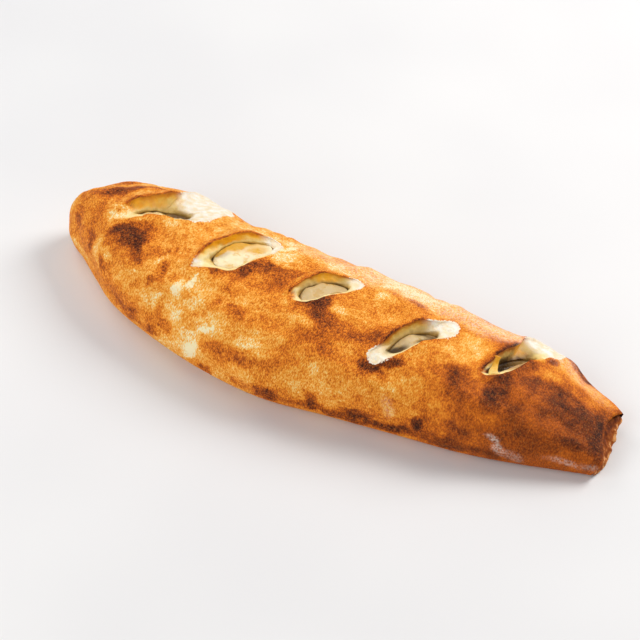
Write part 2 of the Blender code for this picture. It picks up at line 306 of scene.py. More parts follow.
@dataclass(frozen=True)
class Slash:
    """A slash in the crust, as outlines along and aside of its own line, in millimetres.

    Each lip runs from the slash's left tip to its right tip and holds along, aside and
    the height at which the lip stands. The hole's two edges hold along and aside.

    Args:
        x: Where the slash's own line is centred along the log.
        across: The same, round the skin from the top line.
        angle: How far its line is turned from X.
        back_lip: The lip behind the cut.
        front_lip: The lip before it.
        hole_back: The hole's edge behind.
        hole_front: The hole's edge in front.
        cheese: How deep the cheese lies, as along and depth.
        milky: Where along the line the dough under the left and the right tip turns white.
        whiteness: How white it is there, on the left and on the right.
        shade: How much painted shade darkens the cut dough and the cheese, from 0 to 1.
        seed: Seeds its ragged edges.
        milky_over: Over what length the white comes in.
    """

    x: float
    across: float
    angle: float
    back_lip: Knots
    front_lip: Knots
    hole_back: Knots
    hole_front: Knots
    cheese: Knots
    milky: tuple[float, float]
    whiteness: tuple[float, float]
    shade: float
    seed: int
    milky_over: float = 0.009

    def place(self, along: Array, aside: Array) -> Array:
        """Turns places by the slash's line into places on the skin.

        Args:
            along: Distances along the line from its middle.
            aside: Distances behind it.

        Returns:
            x and across, turned by the line's angle and moved to its middle.
        """
        angle = math.radians(self.angle)
        x = self.x * MM + along * math.cos(angle) - aside * math.sin(angle)
        across = self.across * MM + along * math.sin(angle) + aside * math.cos(angle)
        return np.array([x, across])

    def along(self, x: Array, across: Array) -> Array:
        """Gives how far along the slash's line a place of the skin lies."""
        angle = math.radians(self.angle)
        return (x - self.x * MM) * math.cos(angle) + (across - self.across * MM) * math.sin(angle)

    def lip(self, side: Side, share: Array) -> Array:
        """Reads along, aside and height of a lip at shares of its length."""
        return MM * curve(self.front_lip if side is Side.FRONT else self.back_lip, share)

    def hole(self, side: Side, share: Array) -> Array:
        """Reads along and aside of an edge of the hole at shares of its length."""
        return MM * curve(self.hole_front if side is Side.FRONT else self.hole_back, share)

    def level(self, along: Array) -> Array:
        """Reads how deep the cheese lies at places along the slash's line."""
        run, depth = MM * np.array(self.cheese).T
        return np.interp(along, run, depth)

    def white(self, x: Array, across: Array) -> Array:
        """Gives how white the dough is, eased in towards each of the slash's tips.

        Args:
            x: Places along the log.
            across: Distances round the skin from the top line.

        Returns:
            The whiteness, from 0 to 1.
        """
        along = self.along(x, across)
        left = self.whiteness[0] * smooth((self.milky[0] * MM - along) / self.milky_over + 0.5)
        right = self.whiteness[1] * smooth((along - self.milky[1] * MM) / self.milky_over + 0.5)
        return np.maximum(left, right)


SLASHES = (
    Slash(
        x=-106.5,
        across=12,
        angle=52,
        back_lip=(
            (-45.4, -0.6, 0), (-38.3, 2.6, 0.8), (-31.7, 4.9, 2), (-26.8, 6.6, 3.4), (-21.6, 7.8, 4.4),
            (-16, 7.2, 5), (-9.5, 6.1, 5.2), (-2, 5.6, 5.2), (5, 7, 4.8), (9.7, 9.7, 3.6), (13, 14, 1.8),
            (19, 19, 0.7), (28, 21.5, 0.5), (37, 17.5, 0.3), (43.4, 6.5, 0), (43, -3, 0),
        ),
        front_lip=(
            (-45.4, -0.6, 0), (-38.8, -4.7, 0.8), (-31.8, -6.2, 1.4), (-24.8, -6.7, 1.6),
            (-16.5, -7.1, 1.8), (-8.2, -10.2, 1.8), (-0.6, -15, 1.5), (7.9, -18.2, 0.9), (14.3, -19.3, 0.5),
            (19.9, -18.5, 0.2), (25.3, -15.8, 0.1), (31, -13.4, 0), (37, -10.4, 0), (43, -3, 0),
        ),
        hole_back=(
            (-25.1, -0.6), (-20.7, 1), (-14.3, 1.3), (-7.3, 0.3), (-1, -1), (3.5, -2.6), (7.1, -4.6),
            (11.1, -7.6),
        ),
        hole_front=(
            (-25.1, -0.6), (-18.9, -3), (-11.6, -4), (-5.8, -6.6), (-0.5, -9.6), (4.7, -11.8), (8.5, -10.8),
            (11.1, -7.6),
        ),
        cheese=((-25, 3), (-10, 3.6), (-3, 5.2), (2, 9.5), (11, 10)),
        milky=(-27, 8),
        whiteness=(0, 0.95),
        shade=0.42,
        seed=31,
    ),
    Slash(
        x=-45.5,
        across=3,
        angle=51,
        back_lip=(
            (-29.9, -0.7, 0), (-27.8, 2.3, 1.6), (-24.2, 5.2, 2.8), (-19.8, 7.5, 3.8), (-14.5, 9.3, 4.6),
            (-8, 11.6, 5.1), (-1.5, 13.6, 5.2), (5.5, 14.2, 5.1), (12, 13.4, 4.8), (18.5, 11.1, 3.8),
            (23, 8.8, 2.4), (25.8, 5.8, 1), (27.1, 1.5, 0),
        ),
        front_lip=(
            (-29.9, -0.7, 0), (-25, -3, 0.4), (-18.5, -5.6, 0.9), (-11.9, -9.1, 1.2), (-6.5, -10.5, 1.2),
            (0, -9.7, 1.2), (7.9, -7, 1), (14.1, -5.8, 0.6), (20.2, -3.4, 0.3), (27.1, 1.5, 0),
        ),
        hole_back=(
            (-17.5, 2.6), (-12, 7.2), (-7.3, 10.4), (-2.6, 12.2), (2.9, 12.7), (9.9, 12.2), (16.4, 10.4),
            (21, 7.8), (23.2, 4.6),
        ),
        hole_front=(
            (-17.5, 2.6), (-15.5, -3), (-10, -6.8), (-3.5, -7.8), (3.5, -6), (10, -4.2), (17, -1.6),
            (23.2, 4.6),
        ),
        cheese=((-17, 1.6), (-6, 0.9), (8, 0.9), (23, 1.4)),
        milky=(-25.5, 18),
        whiteness=(0.55, 0.9),
        shade=0,
        seed=32,
    ),
    Slash(
        x=11.5,
        across=5.5,
        angle=45,
        back_lip=(
            (-20.5, 0.2, 0), (-18.2, 2.5, 1.4), (-14.9, 4.2, 2.6), (-11, 6.5, 3.4), (-6.6, 8.4, 3.8),
            (-1.9, 9.1, 4), (2.9, 8.5, 4), (7.4, 7, 3.6), (11.5, 5.4, 3), (15, 4.6, 2.2), (18.4, 3.9, 1.4),
            (20.7, 1.8, 0.7), (21.3, -1.1, 0),
        ),
        front_lip=(
            (-20.5, 0.2, 0), (-19, -4.5, 0.6), (-14.4, -8.3, 1), (-8.3, -9.9, 1.2), (-1.6, -8.2, 1.2),
            (4.7, -7.2, 1), (9.9, -6.8, 0.8), (14.5, -5.6, 0.5), (18.8, -4.3, 0.2), (21.3, -1.1, 0),
        ),
        hole_back=(
            (-15.6, -1), (-12.4, 2.6), (-7.8, 4.9), (-2.6, 5.5), (3.1, 5.1), (8.2, 3.6), (12.2, 1.6),
            (14, -0.6),
        ),
        hole_front=(
            (-15.6, -1), (-13.4, -5.9), (-8, -7.7), (-1.4, -5.9), (5.4, -5), (10.2, -4), (14, -0.6),
        ),
        cheese=((-16, 3), (-10, 1.8), (0, 1.3), (14, 1.8)),
        milky=(-40, 15.5),
        whiteness=(0, 0.95),
        shade=0.8,
        seed=33,
    ),
    Slash(
        x=73,
        across=-7,
        angle=63,
        back_lip=(
            (-28.8, 1.6, 0), (-26.6, 4.2, 0.6), (-22.5, 4.8, 1), (-17.5, 4.9, 1.8), (-12, 5.8, 2.6),
            (-6, 6.9, 3), (0, 7.6, 3.2), (6, 7.2, 3.2), (11, 5.5, 3), (15.5, 3.3, 2.2), (20.5, 2.4, 1.5),
            (25, 1.2, 1), (27.6, -1.4, 0.5), (27.2, -4.6, 0),
        ),
        front_lip=(
            (-28.8, 1.6, 0), (-29.7, -1.6, 0.4), (-28.4, -4.3, 0.8), (-24.9, -5.5, 1.2), (-19.7, -6.6, 1.5),
            (-13.5, -7.3, 1.6), (-5.6, -7.6, 1.6), (1.6, -7.9, 1.4), (6.9, -9.7, 1), (12.6, -11, 0.6),
            (18.3, -10.6, 0.3), (23.4, -8.5, 0.1), (27.2, -4.6, 0),
        ),
        hole_back=(
            (-18.1, 0.4), (-12.2, 2.9), (-5.3, 4.4), (1.2, 4.4), (6.4, 3.2), (10.9, 0.8), (13.8, -3.1),
        ),
        hole_front=(
            (-18.1, 0.4), (-15.6, -3.7), (-9.1, -5.1), (-1.9, -4.9), (4.8, -5.3), (9.6, -6.2), (13.8, -3.1),
        ),
        cheese=((-18, 6.4), (-9, 4.4), (0, 3.4), (6, 4.6), (14, 6.6)),
        milky=(-19.5, 12.5),
        whiteness=(0.92, 0.95),
        shade=0.62,
        seed=34,
    ),
    Slash(
        x=128,
        across=17,
        angle=68,
        back_lip=(
            (-33.5, 0.1, 0), (-29.3, 1.4, 0.8), (-24.3, 2.4, 1.6), (-16.9, 3.8, 2.6), (-10.7, 4.5, 3),
            (-5.2, 4.9, 3.2), (0.9, 5.6, 3), (6.8, 8.2, 2.2), (13, 12, 1.6), (20, 14, 1.4), (27, 12, 1.2),
            (33, 6, 0.8), (35, -2, 0),
        ),
        front_lip=(
            (-33.5, 0.1, 0), (-33.8, -3, 0.6), (-31, -5.2, 1.4), (-27, -7.2, 1.9), (-21.8, -8.6, 2.2),
            (-16, -9, 2.2), (-9.5, -8.4, 2.2), (-3.6, -7.7, 2.2), (2.1, -7.8, 1.8), (8.3, -8.5, 1.4),
            (15.7, -9, 0.9), (23.3, -7.7, 0.4), (30, -5.4, 0.1), (35, -2, 0),
        ),
        hole_back=(
            (-30.4, -1.6), (-22.6, 0.6), (-15, 2.2), (-7.3, 2.4), (-0.7, 1.6), (4.9, 0), (8.9, -2.2),
        ),
        hole_front=(
            (-30.4, -1.6), (-27.1, -3.8), (-20.3, -4.4), (-12.2, -4.4), (-3.7, -4.4), (3, -5), (8.9, -2.2),
        ),
        cheese=((-30, 9.5), (-8, 8.5), (9, 7)),
        milky=(-60, 16),
        whiteness=(0, 0.95),
        shade=1,
        seed=35,
    ),
)


class Toast(Enum):
    """What a mark is: on the skin, in the cut dough, or where a cut has baked over; some marks paint shade
    or sheen.
    """

    SCORCH = "scorch"
    # Pale dough, and painted sheen along the back of the top.
    PALE = "pale"
    # Flour dust, and painted sheen along the back of the top.
    FLOUR = "flour"
    MILK = "milk"
    GOLD = "gold"
    # Painted shade: darkens the pits, gaps and hollows of the slashes.
    HOLLOW = "hollow"
    BAKED = "baked"


@dataclass(frozen=True)
class Mark:
    """A soft-edged oval on the skin, in millimetres, with its long way turned from X."""

    x: float
    across: float
    long: float
    wide: float
    turn: float
    strength: float
    edge: float = 1.4
    fade: float = 0.9

    def cover(self, x: Array, across: Array) -> Array:
        """Gives how strongly the mark covers each place, fading over its outer part.

        Args:
            x: Places along the log.
            across: Distances round the skin from the top line.

        Returns:
            The strength, less with the distance from the middle in half lengths.
        """
        turn = math.radians(self.turn)
        right = x / MM - self.x
        back = across / MM - self.across
        along = (right * math.cos(turn) + back * math.sin(turn)) / self.long
        aside = (back * math.cos(turn) - right * math.sin(turn)) / self.wide
        return self.strength * smooth((self.edge - np.hypot(along, aside)) / self.fade)


# A row of a mark or a hill holds x, across, long, wide, turn and strength, in that order.
MARK_ROWS = {
    Toast.SCORCH: (
        (-110, -22, 9, 8, 30, 0.95), (-117, -27, 9, 5, 25, 0.85), (-107, -17, 7, 4, 50, 0.8),
        (-102, -32, 8, 5, -40, 0.75), (-124, -31, 7, 3, 35, 0.6), (-118, -21.5, 15, 2.2, 39, 0.85),
        (-104, -11, 6, 1.8, 39, 0.6), (-116, -32, 6, 6, 0, 0.5), (-142, 8, 18, 7, 62, 0.75),
        (-128, 22, 13, 4, 48, 0.6), (-118, 30, 3, 5, 0, 0.7), (-113, -24, 13, 9, 38, 0.7),
        (-142, -50, 5, 7, 10, 0.6), (-123, -54, 4, 6, 10, 0.55), (-117, -52, 2.5, 5, 10, 0.4),
        (-160, -46, 3, 5, 0, 0.3), (-79, -32, 3, 6, -10, 0.6), (-82, -42, 4, 4, 0, 0.7),
        (-83, -21, 7, 2.5, 50, 0.5), (-75, -13, 4, 2.5, 50, 0.35), (-92, -50, 4, 4, 0, 0.35),
        (-105, -68, 6, 3, 0, 0.45), (-90, -66, 4, 3, 0, 0.45), (-74, -69, 5, 4, 0, 0.6),
        (-64, -60, 5, 3, 30, 0.45), (-70, -55, 3, 4, 0, 0.35), (-52, -16, 6, 3.5, -20, 0.55),
        (-36, -4, 6, 5, 50, 0.9), (-28, 3, 8, 5, 30, 0.75), (-14, 6, 12, 4.5, 5, 0.6),
        (-24, -31, 7, 5, -20, 0.55), (-37, -31, 3.5, 3, 0, 0.35), (-12, -34, 3, 4, 0, 0.45),
        (-22, -55, 10, 5.5, 0, 0.38), (-6, -53, 9, 5.5, 10, 0.5), (10, -50, 9, 7, -10, 0.15),
        (8, -72, 9, 6, 10, 0.75), (-33, -76, 5, 4, 0, 0.6), (14, -6, 8, 5, 20, 0.66),
        (24, -15, 10, 5, -25, 0.62), (30, -35, 13, 7, -8, 0.44), (35, -70, 4, 9, 15, 0.65),
        (62, 20, 7, 3.5, -5, 0.5), (54, -18, 5, 4, 0, 0.55), (61, -37, 8, 3.5, 0, 0.84),
        (71, -30, 8, 3, 35, 0.7), (61, -41.5, 5, 3.5, 0, 0.4), (64, -68, 9, 4, 10, 0.6),
        (82, -72, 8, 3, 0, 0.5), (97, -63, 3.5, 5, -10, 0.74), (103, -24, 8, 9, 0, 0.25),
        (108, -29, 7, 13, 20, 0.32), (128, -19, 7, 11, -10, 0.46), (130, -33, 7, 8, 10, 0.45),
        (144, -38, 6, 14, 10, 0.22), (118, -60, 6, 8, 0, 0.2), (172, -25, 9, 18, 5, 0.22),
        (184, -20, 4, 44, 0, 0.48), (176, -48, 14, 12, 0, 0.08), (148, -56, 16, 12, 0, 0.2),
        (115, -72, 40, 5, 0, 0.25), (10, 62, 30, 10, 10, 0.6), (-70, 64, 24, 9, -12, 0.65),
        (90, 58, 26, 10, 5, 0.6), (-148, 34, 10, 7, 70, 0.5), (-152, -20, 14, 46, 0, 0.34),
        (-115, -38, 12, 7, 0, 0.4), (143, 25, 4, 1.8, 45, 0.6), (-102, -66, 44, 9, 0, 0.3),
        (-20, -6, 13, 8, 0, 0.4), (-17, -1, 10, 4, 0, 0.4), (14, -12, 12, 7, 10, 0.4),
        (34, -21, 12, 8, 0, 0.42), (52, -20, 8, 9, 0, 0.22), (155, -2, 24, 12, 0, 0.34),
        (168, 12, 16, 10, 0, 0.26), (168, -14, 15, 13, 0, 0.34), (181, -10, 6, 24, 0, 0.22),
        (150, 50, 14, 8, 0, 0.55), (-112, -14, 8, 2.8, 39, 0.85), (-105, -7.5, 7, 2.2, 39, 0.4),
        (62, -74, 42, 3.4, 0, 0.6), (-42, -12, 7, 5, 0, 0.48), (-34, -23, 8, 4, 0, 0.38),
        (-80, -35, 5, 6, 0, 0.38), (-91, -26, 6, 6, 0, 0.32), (17, -28, 6, 4, 0, 0.34),
        (130, -26, 7, 7, 0, 0.3), (171, -40, 8, 7, 0, 0.4), (155, -24, 7, 7, 0, 0.26),
        (-111, -48, 5, 4, 0, 0.32), (-8, -72, 6, 4, 0, 0.4), (-90, -72, 8, 2.5, 0, 0.35),
        (-68, -70, 6, 2.5, 0, 0.35),
    ),
    # Pale dough; the wide rows along the back of the top are painted sheen.
    Toast.PALE: (
        (-110, -12, 24, 2, 40, 0.45), (-127, -15, 12, 3.6, 52, 0.75), (-99, -34, 4, 6, -20, 0.16),
        (-130, -11.5, 5, 3.5, 50, 0.8), (137, 18, 6, 3, 62, 0.95), (-63, -36, 3.5, 5, 0, 0.95),
        (-58, -28, 6, 2, 80, 0.95), (-73, -46, 5, 2, 75, 0.6), (-80, -43, 4, 1.6, 70, 0.65),
        (-83, -27, 6, 1.3, 55, 0.45), (-36, -43, 7, 5, 45, 0.5), (-51, -39, 7, 5, 45, 0.48),
        (-28, -47, 6, 5, 0, 0.48), (-57, -51, 5, 3, 50, 0.6), (-35, -47, 8, 2.4, 35, 0.95),
        (-43, -67, 8, 4, 60, 1), (-58, -68, 14, 5, 15, 0.5), (-45, -57, 8, 4, 20, 0.45),
        (-100, -61, 9, 4, 10, 0.2), (-24, 18, 8, 8, 0, 0.42), (-27, 25, 8, 1.6, 70, 0.85),
        (-10, -45, 9, 3, 5, 0.25), (-30, -22, 12, 5, 10, 0.22), (-62, 30, 24, 8, 0, 0.32),
        (40, 30, 60, 8, 0, 0.32), (27, -7, 5, 4, 20, 0.55), (100, -2, 13, 13, 0, 0.48),
        (143, 5.5, 8, 3, 45, 0.55), (147, 11.5, 9, 4, 45, 0.5), (86, -39.5, 7, 6, 0, 0.48),
        (71, -44.5, 7, 4, 0, 0.45), (-3, -47, 9, 4, 0, 0.42), (45, 13.5, 9, 5, 0, 0.5),
        (38, -42, 6, 12, 10, 0.1), (27, -62, 7, 5, 30, 0.35), (50, -60, 9, 7, 0, 0.28),
        (77, -57, 3, 11, 20, 0.45), (130, 30, 30, 8, 0, 0.3), (162, 20, 18, 12, -10, 0.5),
        (-155, -70, 18, 3, 0, 0.35), (-172, 0, 5, 40, 0, 0.45), (75, 41, 75, 13, 0, 0.38),
        (68, 27, 72, 8, 0, 0.28), (-20, 38, 22, 9, 0, 0.25), (160, 35, 22, 14, 0, 0.85),
        (107, 4, 9, 15, 0, 0.42), (88, -18, 9, 13, 0, 0.3), (-20, -39, 28, 6, 0, 0.2),
        (-48, -60, 13, 11, 0, 0.25), (66, -50, 68, 9, 0, 0.14), (-90, 72, 20, 6, 10, 0.55),
        (45, 70, 20, 6, -10, 0.5),
    ),
    # The rows in front are flour; those along the back of the top are painted sheen.
    Toast.FLOUR: (
        (138, -57, 4, 2.5, -20, 0.9), (141, -66, 3.5, 6, 10, 0.9), (149, -70, 5, 6, 10, 0.35),
        (172, -64, 8, 5, 0, 0.5), (185, -60, 5, 6, 0, 0.3), (78, -57, 3, 8, 20, 0.25),
        (118, 60, 10, 6, 30, 0.4), (70, 38, 78, 17, 0, 0.62), (108, 30, 30, 13, 0, 0.4),
        (-10, 36, 24, 9, 0, 0.22), (162, 36, 18, 12, 0, 0.3),
    ),
    Toast.MILK: (
        (-62.5, -18, 4, 3, 50, 0.95), (-35.5, 25, 5, 4, 50, 0.95),
    ),
    Toast.GOLD: (
        (-57, 7, 13, 5, 50, 1), (-46, 20, 7, 4, 50, 0.35), (-58.5, -4, 5, 2.5, 70, 0.6),
        (-41, 14.5, 7, 4, 50, 0.8), (-41.6, 14, 3, 0.9, 100, 0.6), (8, 12, 7, 2.2, 30, 0.8),
        (-118, 3, 14, 3, 48, 0.6), (-126, -6, 10, 6, 50, 0.6), (124, 22, 5, 4, 60, 0.6),
    ),
    # Painted shade in the slashes' pits, gaps and hollows.
    Toast.HOLLOW: (
        (-92.5, 8, 6, 3.4, 50, 1), (-2.9, -6.7, 2.2, 1.6, 45, 1), (-2.2, -9.4, 1.4, 1, 45, 0.8),
        (-55.5, -3.5, 7, 2.4, 55, 0.32), (68, -19.5, 7, 2.6, 60, 0.9), (79, -3.5, 7, 2.6, 60, 1),
        (122, 4, 11, 4, 62, 0.85), (117, -10, 4, 2.8, 50, 1),
    ),
    Toast.BAKED: (
        (-134, -20, 12, 9, 50, 1), (-130, -10, 7, 5, 50, 0.6), (-2.6, -9, 3.4, 3.4, 45, 0.9),
        (114, -12, 4, 3, 50, 0.8), (130, 4, 9, 2.4, 64, 0.6),
    ),
}
MARKS = {kind: tuple(Mark(*row) for row in rows) for kind, rows in MARK_ROWS.items()}
ON_SKIN = (Toast.SCORCH, Toast.PALE, Toast.FLOUR)
# The strength of a hill is its height in millimetres.
HILL_ROWS = (
    (-143, 25, 16, 11, 10, -1.9), (-166, 12, 10, 12, 60, -2.2), (-122, 38, 11, 9, 0, -1.6),
    (-70, 45, 12, 12, 0, -2.7), (-40, 46, 8, 10, 0, 1.5), (-1, 46, 14, 12, 0, -2), (67, 45, 9, 12, 0, -2.1),
    (93, 45, 16, 12, 0, -1.4), (160, 42, 8, 12, 0, -1.8), (-103, -10.5, 19, 2.4, 33, -0.9),
    (-108, -5.5, 16, 2.6, 33, 0.6), (-84, -22, 9, 2.4, 50, -0.5), (-79, -34, 4, 6, -10, -0.6),
    (-58, -28, 6, 2, 80, 0.5), (-66, -36, 3.5, 5, 0, 0.5), (136, 14.5, 5, 2, 60, 0.6),
    (142, 24, 3, 2.5, 40, 0.8), (133, 11, 1.8, 1.4, 0, 0.6), (138, 19, 1.8, 1.5, 0, 0.8),
    (141, 19, 1.4, 1.8, 0, -0.6), (145, 28, 2, 1.6, 0, 0.7), (-117, 31, 3, 3, 0, 0.9),
)
HILLS = tuple(Mark(*row) for row in HILL_ROWS)


class Surface:
    """The corners, faces and painted masks of one piece while it is being made."""

    def __init__(self) -> None:
        """Starts with nothing."""
        self.points: list[Array] = []
        self.masks: list[dict[str, Array]] = []
        self.faces: list[Array] = []
        self.count = 0

    def add(self, points: Array, **masks: Reading) -> Array:
        """Adds corners with their masks.

        Args:
            points: Points along the last axis.
            masks: For each mask by name, its value for all points or for each.

        Returns:
            The corners' numbers, in the points' own layout.
        """
        layout = points.shape[:-1]
        numbers = self.count + np.arange(math.prod(layout)).reshape(layout)
        self.points.append(points.reshape(-1, 3))
        self.masks.append({name: np.broadcast_to(value, layout).ravel() for name, value in masks.items()})
        self.count += numbers.size
        return numbers

    def wrap(self, corners: Array, kept: Array | None = None) -> None:
        """Adds the four-cornered cells of a grid that closes on itself across.

        Args:
            corners: The corners' numbers, down and across.
            kept: Which cells to add, or None for all of them.
        """
        onward = np.roll(corners, -1, axis=1)
        cells = np.stack([corners[:-1], corners[1:], onward[1:], onward[:-1]], axis=-1)
        self.faces.append(cells.reshape(-1, 4) if kept is None else cells[kept])

    def step_down(self, fine: Array, coarse: Array) -> None:
        """Joins a ring to one with fewer corners, by faces with several fine corners.

        Args:
            fine: The numbers of the ring with more corners.
            coarse: Those of the other, of which each stands at one of the fine ones.
        """
        ratio = len(fine) // len(coarse)
        first = ratio * np.arange(len(coarse))
        run = fine[(first[:, None] + np.arange(ratio + 1)) % len(fine)]
        back = np.stack([np.roll(coarse, -1), coarse], axis=-1)
        self.faces.append(np.concatenate([run, back], axis=-1))

    def close(self, ring: Array, point: Array) -> None:
        """Closes a ring, given by its corners' numbers, with a fan to a new point."""
        tip = np.broadcast_to(self.add(point[None]), ring.shape)
        self.faces.append(np.stack([ring, np.roll(ring, -1), tip], axis=-1))

    def zip_up(self, ring: Array) -> None:
        """Closes a flat ring with faces from its lower run to its upper run.

        Args:
            ring: The corners' numbers, whose quarters begin below, in front and above.
        """
        quarter = len(ring) // 4
        low = ring[np.arange(-quarter, quarter + 1)]
        high = ring[2 * quarter - np.arange(-quarter, quarter + 1)]
        cells = np.stack([low[:-1], low[1:], high[1:], high[:-1]], axis=-1)
        self.faces.append(cells[1:-1])
        self.faces.append(np.array([[low[0], low[1], high[1]], [low[-1], high[-2], low[-2]]]))

    def finish(self, name: str, finish: bpy.types.Material) -> bpy.types.Object:
        """Makes the piece, with its faces turned outwards and its masks as attributes.

        Args:
            name: The piece's name.
            finish: Its material.

        Returns:
            The piece, at the origin, riding on the log's one body.
        """
        data = bpy.data.meshes.new(name)
        faces = [corner for group in self.faces for corner in group.tolist()]
        data.from_pydata(np.concatenate(self.points), [], faces)
        for mask in sorted({key for masks in self.masks for key in masks}):
            parts = zip(self.masks, self.points)
            values = [masks.get(mask, np.zeros(len(points))) for masks, points in parts]
            painted = data.attributes.new(mask, "FLOAT", "POINT")
            painted.data.foreach_set("value", np.concatenate(values).astype(np.float32))
        solid = bmesh.new()
        solid.from_mesh(data)
        loose = [corner for corner in solid.verts if not corner.link_faces]
        bmesh.ops.delete(solid, geom=loose, context="VERTS")
        bmesh.ops.recalc_face_normals(solid, faces=solid.faces[:])
        solid.to_mesh(data)
        solid.free()
        data.shade_smooth()
        data.materials.append(finish)
        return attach(stand(name, data), "root")


@dataclass
class Cutting:
    """The window in the skin's grid that one slash fills with rings of its own.

    The rings run from the window's rim to the lips, then down the cut dough to the
    hole. A ring's first half follows the front lip and its second half the back lip.
    """

    slash: Slash
    form: LogForm
    columns: Array
    rows: int
    ratio: int
    margin_along: float = 0.0044
    margin_across: float = 0.0060
    lip_samples: int = 61
    seed_step: float = 0.01

    def __post_init__(self) -> None:
        """Finds the window: the outline with its margins, on every ratio-th grid line."""
        share = np.linspace(0.0, 1.0, self.lip_samples)
        lips = np.concatenate([self.slash.lip(side, share) for side in Side])
        x, across = self.slash.place(lips[:, 0], lips[:, 1])
        self.left = self.column_near(x.min() - self.margin_along)
        self.right = self.column_near(x.max() + self.margin_along)
        self.low = self.row_near(across.min() - self.margin_across)
        self.high = self.row_near(across.max() + self.margin_across)
        wide = self.right - self.left
        tall = self.high - self.low
        still = np.zeros(tall, int)
        going = np.arange(wide)
        rising = np.arange(tall)
        self.i = self.left + np.concatenate([going, still + wide, wide - going, still])
        self.j = self.low + np.concatenate([0 * going, rising, 0 * going + tall, tall - rising])
        self.rim = np.array([self.columns[self.i], self.form.across_of(self.j / self.rows)])
        half = wide + tall
        going = np.arange(half) / half
        self.share = np.concatenate([going, 1.0 - going])
        self.back = np.arange(2 * half) >= half
        self.ends = np.abs(2.0 * self.share - 1.0)
        self.lips = self.outline(self.slash.lip)
        self.hole = self.outline(self.slash.hole)
        self.hole_at = self.slash.place(*self.hole)
        apart = np.full(2 * half, self.seed_step * self.slash.seed)
        self.lip_line = np.stack([*self.lips[:2], apart], axis=-1)

    def column_near(self, x: float) -> int:
        """Finds the grid column, of every ratio-th one, that is nearest to a place."""
        return self.ratio * int(np.abs(self.columns[:: self.ratio] - x).argmin())

    def row_near(self, across: float) -> int:
        """Finds the grid row, of every ratio-th one, that is nearest to a place across."""
        return self.ratio * round(self.form.share_of(across) * self.rows / self.ratio)

    def outline(self, read: Callable[[Side, Array], Array]) -> Array:
        """Reads both sides of an outline round the ring, as rows of its values."""
        front, back = (np.moveaxis(read(side, self.share), -1, 0) for side in Side)
        return np.where(self.back, back, front)

    def cells(self, shape: tuple[int, int]) -> Array:
        """Says which cells of the skin's grid, of a given shape, lie in the window."""
        i, j = np.ogrid[: shape[0], : shape[1]]
        return (i >= self.left) & (i < self.right) & (j >= self.low) & (j < self.high)

    def coarse_rim(self, corners: Array) -> Array:
        """Picks the corners round the window from a grid with every ratio-th line."""
        return corners[self.i[:: self.ratio] // self.ratio, self.j[:: self.ratio] // self.ratio]


